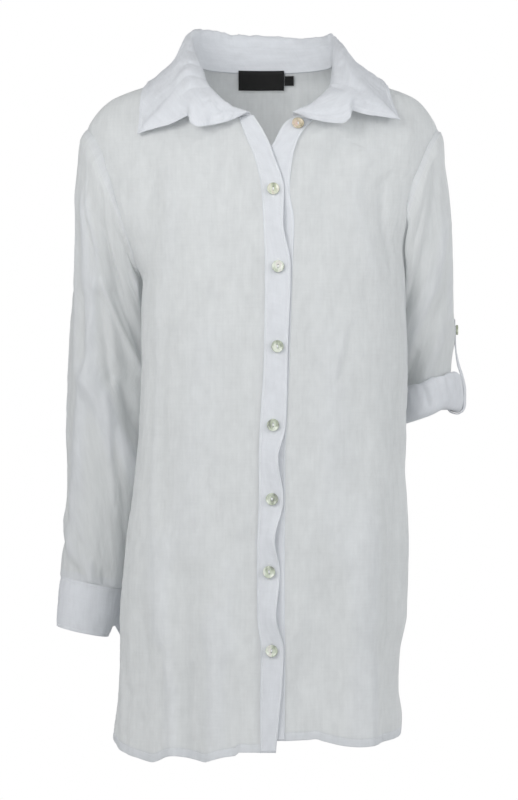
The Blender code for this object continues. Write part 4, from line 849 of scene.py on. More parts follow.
def hang_panel(name, facing, middle, grid, angles, steps, along, to_side, soft, folds, seed,
               ridge_highlight_share=0.0, sunk=0.0):
    """Creases, hem, grain and a painted highlight on the ridges of a panel on the torso. Its normals times
    facing point outward.
    """
    z = grid[..., 2]
    height = fold_heights(folds, along, z) * held(to_side / CREASE_MARGIN)
    # Ridge tops get a painted highlight: the double mark is raised on them as if the cloth lay double there.
    painted_ridge_highlight = ridge_highlight_share * held(height / HIGHLIGHT_FULL_HEIGHT)
    height += crumples(along, z, seed, PANEL_CRUMPLE) * held(to_side / CRUMPLE_MARGIN) * soft
    height += hem_shape(steps)[:, None]
    height -= GROOVE_DEPTH * bell(to_side, GROOVE_WIDTH)
    height[-1] = 0.0
    hung = grid + facing * normals_of(grid) * (height - sunk)[..., None]
    outward = facing * normals_of(hung)
    inner, count = turned_in(hung, outward, HEM_ROWS)
    whole = np.concatenate([inner, hung])
    # The double mark takes the whiter of the hem's doubled cloth and the painted ridge highlight.
    double = np.maximum(painted_ridge_highlight, hem_double(steps)[:, None])
    double = np.concatenate([np.full((count, grid.shape[1]), HEM_DOUBLE), double])
    grain = straight_grain(angles, z, middle, count)
    made = sew(name, whole, facing * normals_of(whole), double=double, grain=grain)
    stitch_line(name, hung, outward, np.array(HEM_ROWS), HEM_STITCH, CLOTH_LIFT)
    tell(made, "round", round(float(round_distances(grid).max()), 3))


def front_panel(name, side, table, hem_z, folds, seed):
    steps = panel_steps()
    left, right = placket_edge(side, hem_z, steps), side_edge(table, side, False, steps)
    across = np.unique([*np.linspace(0, 1, 92), 0.004, 0.008, 0.014, 0.02, 0.985, 0.992, 0.996])
    shares = across**0.9
    bottom_z = hem_line(side, left[0, 0], right[0, 0], shares)
    bottom_z[0], bottom_z[-1] = left[0, 1], right[0, 1]
    bottom = np.stack([left[0, 0] + (right[0, 0] - left[0, 0]) * shares, bottom_z], axis=1)
    pairs = fill_patch(bottom, shoulder_seam(side, across), left, right, across, steps / steps[-1])
    angles, z = pairs[..., 0], pairs[..., 1]
    grid = torso_point(angles, z)
    run = round_distances(grid)
    soft = held(run / 0.008) * from_top(steps, 0.25)
    near_placket = bell(run, 0.02) * held((-0.045 - z) / 0.02)
    # The fronts take half the painted ridge highlight.
    hang_panel(name, side, 0.0, grid, angles, steps, run, run[:, -1:] - run, soft, folds, seed,
               0.5 * RIDGE_PAINTED_HIGHLIGHT, side * PLACKET_STEP * near_placket)


right_folds, left_folds = FRONT_RIGHT_FOLDS + FRONT_RIGHT_CREASES, FRONT_LEFT_FOLDS + FRONT_LEFT_CREASES
front_panel("linen_front_right", -1, ARMHOLE_RIGHT, HEM_RIGHT_START_Z, right_folds, 3)
front_panel("linen_front_left", 1, ARMHOLE_LEFT, HEM_LEFT_START_Z, left_folds, 5)

# %% [markdown]
# ## The back
# The back is one panel from side seam to side seam. Nobody sees its folds in a front view, but it hangs as
# the fronts do, so it gets the same kind of long soft troughs.

# %% Creases of the back
BACK_CREASES = (
    (-0.165, -0.8, -0.16, -0.64, 0.009, -0.0026), (-0.12, -0.8, -0.11, -0.6, 0.008, 0.0024),
    (-0.06, -0.8, -0.062, -0.69, 0.008, 0.0022), (-0.004, -0.8, -0.01, -0.65, 0.009, -0.0024),
    (0.052, -0.8, 0.05, -0.7, 0.007, 0.002), (0.112, -0.8, 0.104, -0.62, 0.009, -0.0024),
    (0.165, -0.8, 0.16, -0.66, 0.009, 0.0022), (-0.125, -0.11, -0.15, -0.235, 0.011, -0.0034),
    (0.125, -0.11, 0.152, -0.235, 0.011, -0.0032), (-0.09, -0.08, -0.105, -0.19, 0.012, 0.002),
    (0.095, -0.085, 0.112, -0.2, 0.012, 0.0022), (-0.02, -0.12, -0.028, -0.3, 0.01, 0.0018),
    (0.04, -0.09, 0.03, -0.25, 0.011, -0.0018), (-0.07, -0.32, -0.05, -0.46, 0.007, -0.0016),
    (0.075, -0.3, 0.06, -0.42, 0.006, 0.0016), (0.01, -0.42, 0.024, -0.54, 0.007, 0.0014),
    (-0.14, -0.34, -0.132, -0.56, 0.008, 0.0018), (0.14, -0.35, 0.13, -0.54, 0.008, -0.0018),
)


# %% Cutting and hanging the back
def seen_flat(pairs):
    return torso_point(pairs[:, 0], pairs[:, 1])[:, (0, 2)]


def back_top(at):
    """The back's upper edge at steps from the right shoulder point, round the neck, to the left one."""
    right = shoulder_seam(-1, held(1 - at / SHOULDER_STEPS))
    share = held((at - SHOULDER_STEPS) / BACK_NECK_STEPS)
    neck = back_neckline((share + np.arccos(1 - 2 * share) / np.pi) / 2)
    left = shoulder_seam(1, held((at - SHOULDER_STEPS - BACK_NECK_STEPS) / SHOULDER_STEPS))
    pairs = np.where((at < SHOULDER_STEPS)[:, None], right, neck)
    return seen_flat(np.where((at > SHOULDER_STEPS + BACK_NECK_STEPS)[:, None], left, pairs))


def back_panel(name, folds, seed):
    steps = panel_steps()
    left = seen_flat(side_edge(ARMHOLE_RIGHT, -1, True, steps))
    right = seen_flat(side_edge(ARMHOLE_LEFT, 1, True, steps))
    across = np.unique([*np.linspace(0, 1, 145), 0.002, 0.004, 0.996, 0.998])
    top = back_top(across * (2 * SHOULDER_STEPS + BACK_NECK_STEPS))
    hem = named(HEM_BACK, HEM_COLUMNS)
    bottom_x = np.interp(across, (0, 1), (left[0, 0], right[0, 0]))
    bottom = np.stack([bottom_x, smooth(hem["share"], hem["z"], across)], axis=1)
    flat = fill_patch(bottom, top, left, right, across, steps / steps[-1])
    angles = back_angle(flat[..., 0], flat[..., 1])
    grid = torso_point(angles, flat[..., 1])
    run = round_distances(grid)
    centre = run - run[:, len(across) // 2][:, None]
    to_side = np.minimum(run, run[:, -1:] - run)
    hang_panel(name, -1, -180.0, grid, angles, steps, centre, to_side, from_top(steps, 0.15), folds, seed)


back_panel("linen_back", BACK_FOLDS + BACK_CREASES, 8)

# %% [markdown]
# ## Plackets
# The two front edges carry doubled strips. The upper one buttons over the lower one and lifts a little
# between its buttons, which gives the wavy edge that worn linen shows.

# %% Doubled strips down the front
PLACKET_WALL, PLACKET_LIFT = 0.0009, 0.00055
PLACKET_STITCHES = (0.09, 0.91)
# Shares of the way from a placket's free edge to its seam, closer together at the edges and stitches.
PLACKET_SHARES = (
    0.0, 0.012, 0.03, 0.06, 0.09, 0.12, 0.2, 0.3, 0.4, 0.5, 0.6, 0.7, 0.8, 0.88, 0.91, 0.94, 0.97, 1.0,
)


def front_normals(grid):
    normals = normals_of(grid)
    return normals * np.sign(-normals[..., 1:2])


def placket(name, side, hem_z, seed):
    levels = opening_levels(hem_z)
    z = np.interp(np.linspace(0, len(levels) - 1, 250), np.arange(len(levels)), levels)[:, None]
    seam, edge = placket_size("seam", side, z), placket_size("edge", side, z)
    across = np.array(PLACKET_SHARES)
    x = edge + (seam - edge) * across
    grid = torso_point(front_angle(x, z), z)
    stand_off = np.full(x.shape, -side * PLACKET_STEP)
    if side < 0:
        stand_off += placket_size("lift", side, z) * (1 - across) ** 1.5
    ends = held(across / 0.15) * held((1 - across) / 0.15)
    stand_off += 0.35 * crumples(round_distances(grid), z, seed) * ends
    for line in PLACKET_STITCHES:
        stand_off -= 0.00042 * bell(across - line, 0.03)
    grid += front_normals(grid) * stand_off[..., None]
    grid[-1] += (0.0, 0.0, -0.001)
    outward = front_normals(grid)
    made = sew(name, grid, outward, double=1.0, wall=PLACKET_WALL)
    for line in PLACKET_STITCHES:
        stitch_line(name, grid.swapaxes(0, 1), outward.swapaxes(0, 1), across, line, PLACKET_LIFT)
    tell(made)


placket("linen_placket_right", -1, HEM_RIGHT_START_Z, 11)
placket("linen_placket_left", 1, HEM_LEFT_START_Z, 12)

# %% [markdown]
# ## Sleeves
# A sleeve is a tube from the armhole seam through a list of leaning ovals. The long one has a soft elbow
# and gathers slightly into its cuff, and the other one is pushed up above its turned end.

# %% Creases of the sleeves
SLEEVE_RIGHT_CREASES = (
    (52.0, 0.012, 78.0, 0.076, 0.0041, 0.0034), (80.0, 0.075, 70.0, 0.114, 0.0047, 0.0028),
    (70.0, 0.114, 60.0, 0.168, 0.0047, 0.0028), (84.0, 0.108, 132.0, 0.202, 0.005, 0.0045),
    (94.0, 0.058, 136.0, 0.169, 0.0082, -0.006), (74.0, 0.125, 86.0, 0.211, 0.0059, -0.0045),
    (94.0, 0.207, 134.0, 0.271, 0.0094, -0.0045), (82.0, 0.23, 88.0, 0.353, 0.0047, 0.0028),
    (92.0, 0.27, 110.0, 0.422, 0.0059, -0.0028), (46.0, 0.259, 50.0, 0.426, 0.0047, 0.0018),
    (38.0, 0.44, 36.0, 0.5, 0.004, -0.005), (58.0, 0.43, 60.0, 0.5, 0.004, 0.006),
    (74.0, 0.44, 76.0, 0.5, 0.004, -0.005), (118.0, 0.43, 122.0, 0.5, 0.0045, 0.0065),
    (140.0, 0.44, 142.0, 0.5, 0.0045, -0.0055), (80.0, 0.354, 90.0, 0.445, 0.0047, 0.0024),
    (102.0, 0.385, 116.0, 0.46, 0.007, -0.0042), (54.0, 0.027, 66.0, 0.075, 0.0035, -0.0022),
    (98.0, 0.012, 100.0, 0.059, 0.0047, -0.004), (48.0, 0.133, 52.0, 0.237, 0.0059, -0.0022),
    (20.0, 0.06, 34.0, 0.2, 0.008, 0.0024), (14.0, 0.26, 22.0, 0.44, 0.007, -0.0024),
    (340.0, 0.12, 330.0, 0.3, 0.008, 0.0026), (320.0, 0.04, 290.0, 0.14, 0.007, -0.003),
    (300.0, 0.16, 262.0, 0.26, 0.0065, 0.0034), (280.0, 0.24, 240.0, 0.33, 0.008, -0.0036),
    (250.0, 0.06, 225.0, 0.18, 0.008, 0.003), (320.0, 0.33, 312.0, 0.455, 0.006, 0.0026),
    (265.0, 0.36, 270.0, 0.46, 0.007, -0.003), (200.0, 0.18, 192.0, 0.38, 0.008, 0.0024),
    (165.0, 0.26, 170.0, 0.43, 0.007, -0.0024), (158.0, 0.07, 152.0, 0.2, 0.011, 0.005),
    (150.0, 0.19, 146.0, 0.33, 0.01, 0.004),
)
SLEEVE_LEFT_CREASES = (
    (48.0, 0.017, 84.0, 0.012, 0.0047, 0.0034), (76.0, 0.016, 114.0, 0.039, 0.0094, -0.006),
    (78.0, 0.089, 114.0, 0.151, 0.007, 0.0034), (112.0, 0.091, 122.0, 0.119, 0.007, -0.0045),
    (52.0, 0.022, 60.0, 0.092, 0.0047, 0.0022), (66.0, 0.027, 76.0, 0.086, 0.0059, -0.0024),
    (94.0, 0.184, 66.0, 0.172, 0.0035, -0.0026), (80.0, 0.172, 94.0, 0.205, 0.0035, 0.0025),
    (94.0, 0.179, 110.0, 0.209, 0.0035, -0.003), (114.0, 0.18, 130.0, 0.217, 0.0047, -0.005),
    (46.0, 0.118, 44.0, 0.179, 0.0059, -0.0018), (70.0, 0.13, 88.0, 0.164, 0.0047, -0.0028),
    (20.0, 0.04, 30.0, 0.15, 0.008, 0.0022), (340.0, 0.05, 330.0, 0.17, 0.008, -0.0024),
    (300.0, 0.02, 270.0, 0.09, 0.007, 0.003), (280.0, 0.12, 240.0, 0.19, 0.006, -0.0036),
    (310.0, 0.18, 290.0, 0.24, 0.0045, 0.0026), (250.0, 0.19, 235.0, 0.25, 0.0045, -0.003),
    (210.0, 0.06, 200.0, 0.19, 0.008, 0.0026), (170.0, 0.08, 180.0, 0.18, 0.007, -0.0024),
    (0.0, 0.212, 4.0, 0.245, 0.016, -0.016), (0.0, 0.16, 2.0, 0.186, 0.012, 0.0035),
)


# %% Rings of a tube
SLEEVE_SIDES = 140
# Angles round a tube, from its outer side.
TURN = np.linspace(0, 2 * np.pi, SLEEVE_SIDES, endpoint=False)[None, :]


def oval_ring(row, side):
    size = dict(zip(SLEEVE_COLUMNS, row))
    turn = np.radians(np.linspace(0, 360, SLEEVE_SIDES, endpoint=False))
    swing = (1 + np.cos(turn)) / 2
    x = size["inner_x"] + (size["outer_x"] - size["inner_x"]) * swing
    z = size["inner_z"] + (size["outer_z"] - size["inner_z"]) * swing
    return np.stack([side * x, size["middle_y"] - size["half_depth"] * np.sin(turn), z], axis=1)


def armhole_ring(table, side):
    half = SLEEVE_SIDES // 2
    down = armhole(table, side, np.linspace(1, 0, half + 1), False)
    up = armhole(table, side, np.linspace(0, 1, half + 1), True)
    pairs = np.concatenate([down[:-1], up[:-1]])
    return torso_point(pairs[:, 0], pairs[:, 1])


def rings_between(rings, at_shares):
    rings = np.array(rings)
    steps = np.linalg.norm(np.diff(rings, axis=0), axis=2).mean(axis=1)
    knots = np.concatenate([[0.0], np.cumsum(steps)])
    at = at_shares * knots[-1]
    return smooth_table(knots, rings.reshape(len(rings), -1), at).reshape(len(at), -1, 3), at


def tube_outward(grid):
    normal = normals_of(grid, around=True)
    from_middle = grid - grid.mean(axis=1, keepdims=True)
    return normal * np.sign(np.sum(normal * from_middle, axis=(1, 2)))[:, None, None]


# %% Hanging a sleeve
# Rows close together below the armhole, as shares of the length, and where the stitches run there.
SLEEVE_TOP_ROWS = (0.0, 0.003, 0.006, 0.01, 0.015)
SLEEVE_STITCH = 0.0075
# How far the cloth goes on past the armhole seam, and past the sleeve's lower end, and how far inward.
ARMHOLE_TUCK, ARMHOLE_TUCK_IN = 0.006, 0.002
END_TUCK, END_TUCK_IN = 0.004, 0.0012


def tube_fold_heights(grid, down, folds):
    radius = np.linalg.norm(grid - grid.mean(axis=1, keepdims=True), axis=2).mean(axis=1)[:, None]
    total = np.zeros(grid.shape[:2])
    for start, start_v, end, end_v, width, height in folds:
        line = (math.radians(start) * FOLD_RADIUS, start_v, math.radians(end) * FOLD_RADIUS, end_v)
        for around in (-2 * np.pi, 0.0, 2 * np.pi):
            total += ridge((TURN + around) * radius, down[:, None], *line, width, height)
    return total


def ring_crumples(down, seed, share):
    """Crumple that closes on itself round a tube: it fades out at one line and in from another noise."""
    first = crumples(TURN * FOLD_RADIUS, down[:, None], seed, share)
    second = crumples(((TURN + np.pi) % (2 * np.pi)) * FOLD_RADIUS, down[:, None], seed + 40, share)
    blend = (1 - np.cos(TURN)) / 2
    return first * blend + second * (1 - blend)


def sleeve(name, side, table, armhole_table, folds, depth, rows, smooth_end, end_seam, seed):
    rings = [armhole_ring(armhole_table, side), *(oval_ring(row, side) for row in table)]
    shares = np.concatenate([SLEEVE_TOP_ROWS, np.linspace(0.022, 1, rows)])
    grid, down = rings_between(rings, shares)
    fade = held(down / 0.05) * held((down[-1] - down) / smooth_end - 1)
    height = tube_fold_heights(grid, down, folds) * (np.interp(down, *zip(*depth)) * fade)[:, None]
    # Ridge tops of the sleeve get a painted highlight in the double mark.
    painted_ridge_highlight = RIDGE_PAINTED_HIGHLIGHT * held(height / HIGHLIGHT_FULL_HEIGHT)
    height += ring_crumples(down, seed, 1.2) * held(down / 0.02)[:, None]
    height += 0.0006 * bell(down - 0.004, 0.003)[:, None]
    grid += tube_outward(grid) * height[..., None]
    gap = SLEEVE_CLEARANCE * held(0.5 + down / 0.06)
    gap[:len(SLEEVE_TOP_ROWS)] = 0.0004
    grid[1:] = keep_clear(grid[1:], gap[1:, None])
    into = unit(grid[0] - grid[2])
    level_out = unit(grid[0] - np.array([0.0, 0.0, 1.0]) * grid[0, :, 2:3])
    tucked = grid[0] + into * ARMHOLE_TUCK - level_out * ARMHOLE_TUCK_IN
    onward = unit(grid[-1] - grid[-3])
    inward = -tube_outward(grid[-3:])[-1]
    sewn_in = grid[-1] + onward * END_TUCK + inward * END_TUCK_IN
    whole = np.concatenate([tucked[None], grid, sewn_in[None]])
    seams = 0.4 * held((0.007 - down) / 0.002 + 0.5)
    seams += end_seam * held((0.009 - (down[-1] - down)) / 0.002 + 0.5)
    double = np.concatenate([[1.0], seams, [1.0]])[:, None] * np.ones(SLEEVE_SIDES)
    # The double mark takes the painted ridge highlight where it is whiter than the seams.
    double[1:-1] = np.maximum(double[1:-1], painted_ridge_highlight)
    made = sew(name, whole, tube_outward(whole), double=double, around=True)
    stitch_line(name, grid, tube_outward(grid), down, SLEEVE_STITCH, CLOTH_LIFT, around=True)
    tell(made, "length", round(float(down[-1]), 3))


sleeve("linen_sleeve_right", -1, SLEEVE_RIGHT, ARMHOLE_RIGHT, SLEEVE_RIGHT_FOLDS + SLEEVE_RIGHT_CREASES,
       ((0.0, 1.0), (0.3, 0.95), (0.38, 0.4), (0.5, 0.35)), 160, 0.001, 0.5, 21)
sleeve("linen_sleeve_left", 1, SLEEVE_LEFT, ARMHOLE_LEFT, SLEEVE_LEFT_FOLDS + SLEEVE_LEFT_CREASES,
       ((0.0, 0.5), (0.14, 0.45), (0.3, 0.4)), 105, 0.012, 0.0, 22)


# %% [markdown]
# ## Cuff, turned-up end and strap
# The long sleeve ends in a doubled cuff with a row of stitches at each edge. The other sleeve is rolled
# twice, so its end is a soft thick ring of cloth, and a buttoned strap comes down outside and goes round it.


# %% The cuff's lower end, which stands out behind the upper one
UNDERLAP = (
    ((-0.186, 0.03, -0.606), (-0.186, 0.03, -0.662)),
    ((-0.18, 0.036, -0.606), (-0.1805, 0.036, -0.66)),
    ((-0.1755, 0.04, -0.606), (-0.1775, 0.04, -0.659)),
    ((-0.1715, 0.044, -0.607), (-0.1735, 0.044, -0.667)),
    ((-0.1675, 0.047, -0.609), (-0.169, 0.047, -0.676)),
)


# Walls of the cuff, the turned-up end and the collar, and how far their stitches lie above the middle.
THICK_WALL = 0.0011
THICK_LIFT = 0.00065


def close_wall(made):
    select_only(made)
    bpy.ops.object.modifier_apply(modifier="two layers")


def add_underlap(cuff_piece):
    ends = np.array(UNDERLAP)
    shares = np.linspace(0, 1, 16)
    lines = np.stack([along_curve(ends[:, k], np.linspace(0, 1, 14)) for k in range(2)])
    grid = lines[0][None] + (lines[1] - lines[0])[None] * shares[:, None, None]
    flap = sew("underlap", grid, np.broadcast_to((0.0, -1.0, 0.0), grid.shape), double=1.0, wall=THICK_WALL)
    close_wall(flap)
    close_wall(cuff_piece)
    select_only(flap, cuff_piece)
    bpy.ops.object.join()
    del pieces["underlap"]


# %% Cuff
CUFF_STITCHES = (0.05, 0.94)


def cuff(name):
    rings = [oval_ring(row, -1) for row in CUFF_RIGHT]
    shares = np.unique([*np.linspace(0, 1, 22), *CUFF_STITCHES, 0.03, 0.07, 0.92, 0.96, 0.985])
    grid, down = rings_between(rings, shares)
    ends = held(np.minimum(shares, 1 - shares) / 0.1)
    height = ring_crumples(down, 31, 0.9) * ends[:, None]
    for line in CUFF_STITCHES:
        height -= 0.0003 * bell(shares - line, 0.02)[:, None]
    height += 0.0009 * bell(shares, 0.06)[:, None]
    # On its outer side the cuff hangs straight down from the sleeve.
    outer_side = ((1 + np.cos(TURN)) / 2) ** 4
    height -= np.interp(shares, (0.0, 0.5, 1.0), (0.0024, 0.0034, 0.0))[:, None] * outer_side
    grid += tube_outward(grid) * height[..., None]
    grid[0] += (0.0, 0.0, 0.001)
    outward = tube_outward(grid)
    made = sew(name, grid, outward, double=1.0, around=True, wall=THICK_WALL)
    add_underlap(made)
    for line in CUFF_STITCHES:
        stitch_line(name, grid, outward, shares, line, THICK_LIFT, around=True)
    tell(made)


cuff("linen_cuff_right")

# %% Turned-up end
ROLL_CREASES = (
    (20.0, 0.045, 34.0, 0.075, 0.006, 0.001), (46.0, 0.04, 60.0, 0.085, 0.005, -0.0014),
    (72.0, 0.045, 80.0, 0.08, 0.0045, 0.0012), (92.0, 0.042, 104.0, 0.085, 0.0055, -0.0016),
    (118.0, 0.045, 126.0, 0.08, 0.005, 0.0012), (150.0, 0.045, 160.0, 0.08, 0.007, -0.0012),
    (205.0, 0.045, 196.0, 0.08, 0.006, 0.0012), (240.0, 0.04, 250.0, 0.085, 0.0055, -0.0014),
    (275.0, 0.045, 268.0, 0.08, 0.005, 0.0012), (310.0, 0.045, 322.0, 0.085, 0.006, -0.0012),
)


def roll(name):
    base = oval_ring(ROLL_BASE, 1)
    out = base - base.mean(axis=0)
    out[:, 2] = 0
    out = unit(out)
    knots = lengths_along(np.array(ROLL_SECTION))
    at = np.linspace(0, knots[-1], 56)
    section = smooth_table(knots, ROLL_SECTION, at)
    grid = np.array([base + out * away + np.array([0, 0, up]) for away, up in section])
    outer = held((at - 0.022) / 0.01) * held((at[-1] - at) / 0.012)
    height = 1.2 * tube_fold_heights(grid, at, ROLL_CREASES)
    height += ring_crumples(at, 33, 1.0)
    # A softer edge of the first turn shows as a low step on the outside of the second.
    height += 0.0009 / (1 + np.exp(-(at[:, None] - 0.062 - 0.0022 * np.sin(2 * TURN + 0.6)) / 0.0007))
    outward = normals_of(grid, around=True)
    outward *= np.sign(np.sum(outward[30] * out))
    grid = grid + outward * (height * outer[:, None])[..., None]
    # The strap pulls the end down into a soft lobe on the outer side and rounds its upper corner.
    off = np.degrees((TURN + np.pi) % (2 * np.pi) - np.pi)
    low = held(1 - section[:, 1:2] / 0.024) ** 1.3
    high = held((section[:, 1:2] - 0.016) / 0.02)
    wide, close = bell(off, 34), bell(off, 26)
    grid[..., 2] -= 0.0082 * low * wide + 0.006 * high * close
    grid[..., 0] += (0.0009 * outer[:, None] + 0.0018 * low) * wide
    grid[..., 2] += 0.0022 * low * bell(off - 62, 16)
    made = sew(name, grid, outward, double=1.0, around=True, wall=THICK_WALL)
    stitch_line(name, grid, outward, at, at[-1] - 0.014, THICK_LIFT, around=True)
    tell(made)


roll("linen_roll_left")


# %% Roll-up strap
STRAP_WALL, STRAP_LIFT = 0.001, 0.00058


def strap(name):
    knots = lengths_along(np.array(TAB_PATH))
    at = np.linspace(0, knots[-1], 90)
    line = smooth_table(knots, TAB_PATH, at)[:, None]
    shares = np.array([-0.5, -0.48, -0.44, -0.4, -0.36, -0.2, 0.0, 0.2, 0.36, 0.4, 0.44, 0.48, 0.5])
    point = 0.006 * held(1 - at / 0.01)
    across = shares * TAB_WIDTH
    grid = np.zeros((len(at), len(shares), 3))
    turned = 0.17 * held((at - 0.02) / 0.035) * held((0.125 - at) / 0.02)
    grid[..., 0] = line[..., 0] - (across**2) * 5.5 + turned[:, None] * across
    grid[..., 0] -= 0.0008 * held(1 - at / 0.035)[:, None]
    grid[..., 1] = TAB_MIDDLE_Y + across
    grid[..., 2] = line[..., 1] - point[:, None] * (np.abs(shares) * 2) ** 1.4
    outward = normals_of(grid)
    outward *= np.sign(outward[5, 6, 0])
    made = sew(name, grid, outward, double=1.0, wall=STRAP_WALL)
    for share in (-0.4, 0.4):
        stitch_line(name, grid[3:].swapaxes(0, 1), outward[3:].swapaxes(0, 1), shares, share, STRAP_LIFT)
    tell(made)


strap("linen_strap_left")

# %% [markdown]
# ## Collar
# The collar is a narrow stand with a wide leaf that turns over it. Both follow the neck seam, and the leaf
# is given by four lines: the top of the fold, the crest outside it, the middle and the outer edge.


# %% Lines of the collar
def neck_seam(side, shares):
    top = neckline(side, np.linspace(0, 1, 60))
    start_x = torso_point(top[0, 0], top[0, 1])[0]
    band_x = np.linspace(placket_size("edge", side, PLACKET_TOP_Z), start_x, 12)[:-1]
    band_z = np.full(11, PLACKET_TOP_Z)
    band = np.stack([front_angle(band_x, band_z), band_z], axis=1)
    behind = back_neckline(np.linspace(0, 0.5, 30))
    behind[:, 0] *= -side
    pairs = np.concatenate([band, top[:-1], behind])
    return along_curve(torso_point(pairs[:, 0], pairs[:, 1]), shares)


def collar_side(side):
    lines = np.array([row[1:] for row in COLLAR])
    shares = np.array([row[0] for row in COLLAR])
    lines[..., 0] *= side
    if side > 0:
        moved = named(COLLAR_LEFT, COLLAR_LEFT_COLUMNS)
        lines[..., 0] += np.interp(shares, moved["share"], moved["out"])[:, None]
        for column, taken in (("up", COLLAR_LEFT_RISE), ("fold_up", COLLAR_LEFT_FOLD_RISE)):
            lines[..., 2] += np.outer(np.interp(shares, moved["share"], moved[column]), taken)
    return np.concatenate([neck_seam(side, shares)[:, None], lines], axis=1)


def collar_lines(per_station):
    right, left = collar_side(-1), collar_side(1)
    stations = np.concatenate([right, left[-2::-1]])
    last = len(stations) - 1
    at = np.linspace(0, last, per_station * last + 1)
    return smooth_table(np.arange(last + 1), stations.reshape(last + 1, -1), at).reshape(len(at), -1, 3)


# %% Stand and leaf
# Shares up the stand, and down the leaf from the middle of its crest to its edge, closer at the stitches.
STAND_ROWS = (0.0, 0.06, 0.12, 0.18, 0.35, 0.5, 0.65, 0.82, 0.9, 1.0)
LEAF_ROWS = (0.04, 0.1, 0.2, 0.3, 0.4, 0.5, 0.6, 0.68, 0.76, 0.82, 0.86, 0.9, 0.94, 0.98, 1.0)
TURN_ROWS = 13
EDGE_STITCH = 0.0055
STAND_GAP, LEAF_OVERLAP = 0.0008, 0.0002


def collar_stand(seam, fold):
    """Sews the stand from the neck seam up, and gives the line the leaf starts from."""
    height = fold - seam
    length = np.linalg.norm(height, axis=1, keepdims=True)
    foot = seam + height / length * STAND_GAP
    drop = np.maximum(length * STAND_SHARE, np.minimum(length * 0.5, STAND_LEAST_DROP))
    top = fold - height / length * drop
    shares = np.array(STAND_ROWS)
    stand = foot[:, None] * (1 - shares[None, :, None]) + top[:, None] * shares[None, :, None]
    outward = normals_of(stand)
    from_neck = stand - stand.mean(axis=(0, 1)) * (1, 1, 0)
    outward *= np.sign(np.sum(outward * from_neck * (1, 1, 0)))
    run = lengths_along(fold)[:, None] * np.ones(len(shares))
    soft = np.sin(np.pi * shares)[None, :]
    stand = stand + outward * (0.6 * crumples(run, shares[None, :] * 0.02, 41) * soft)[..., None]
    sew("linen_collar_stand", stand, outward, double=1.0, wall=THICK_WALL)
    note_stitches("linen_collar_stand", stand[:, 2], outward[:, 2], THICK_LIFT)
    return top - height / length * LEAF_OVERLAP


def collar_leaf(controls):
    """Sews the leaf along its lines, the first on the stand and the last its outer edge."""
    turn = np.linspace(0, 1, TURN_ROWS)[:, None]
    rows, spans = [], []
    for chain in controls:
        pull = 2 * chain[1] - (chain[0] + chain[2]) / 2
        over = (1 - turn) ** 2 * chain[0] + 2 * turn * (1 - turn) * pull + turn**2 * chain[2]
        knots = lengths_along(chain)
        at = knots[2] + (knots[4] - knots[2]) * np.array(LEAF_ROWS)
        rows.append(np.concatenate([over, smooth_table(knots, chain, at)]))
        spans.append(knots[4] - at)
    leaf = np.array(rows)
    to_edge = np.concatenate([np.full((len(leaf), TURN_ROWS), 0.05), np.array(spans)], axis=1)
    outward = normals_of(leaf)
    hanging = leaf[:, TURN_ROWS + 1:]
    from_middle = hanging - hanging.mean(axis=(0, 1)) + (0, 0, 0.05)
    outward *= np.sign(np.sum(outward[:, TURN_ROWS + 1:] * from_middle))
    run = lengths_along(controls[:, 1])[:, None] * np.ones(leaf.shape[1])
    across = round_distances(leaf)
    ends = held(np.minimum(run, run[-1:] - run) / 0.01) * held(across / 0.01)
    wrinkles = 1.1 * crumples(across * 0.5, run, 43) + 0.9 * crumples(run * 0.8, across * 2.0, 44)
    on_fold = bell(across - 0.03, 0.014)
    wrinkles += 0.0009 * crumple(run, across, 0.0085, 0.045, 45) * on_fold
    near_edge = held(1 - to_edge / 0.024) ** 1.5
    wrinkles += 0.0013 * crumple(run, 0 * run, 0.017, 1.0, 46) * near_edge
    wrinkles += 0.0007 * pinches(run + 0.5 * across, across, 0.014, 0.03, 48)
    wrinkles -= 0.0007 * pinches(run - 0.4 * across, across, 0.018, 0.026, 49)
    wrinkles *= 1.35 * ends
    wrinkles -= 0.00035 * bell(to_edge - EDGE_STITCH, 0.0012)
    leaf = leaf + outward * wrinkles[..., None]
    downward = unit(leaf[:, -1] - leaf[:, -3])
    edge_wave = 0.0007 * crumple(run, 0 * run, 0.013, 1.0, 47) * ends * near_edge
    leaf += downward[:, None] * edge_wave[..., None]
    leaf[:, 12:] = keep_clear(leaf[:, 12:], LEAF_CLEARANCE - 0.0005)
    made = sew("linen_collar_leaf", leaf, outward, double=1.0, wall=THICK_WALL)
    stitched = np.concatenate([
        even_table(gaps[::-1], line[::-1], [EDGE_STITCH]) for gaps, line in zip(spans, leaf[:, TURN_ROWS:])
    ])
    inner = slice(6, len(leaf) - 6)
    note_stitches("linen_collar_leaf", stitched[inner], outward[inner, -5], THICK_LIFT)
    tell(made, "length", round(float(run.max()), 3))


lines = collar_lines(12)
leaf_start = collar_stand(lines[:, 0], lines[:, 1])
collar_leaf(np.concatenate([leaf_start[:, None], lines[:, 1:]], axis=1))
for name in ("linen_collar_stand", "linen_collar_leaf"):
    close_wall(pieces[name])
    bpy.ops.object.shade_smooth_by_angle(angle=math.radians(55))


# %% [markdown]
# ## Labels
# A woven black tape is sewn inside the back neck, with a smaller tab for the size beside it. Both are bare.


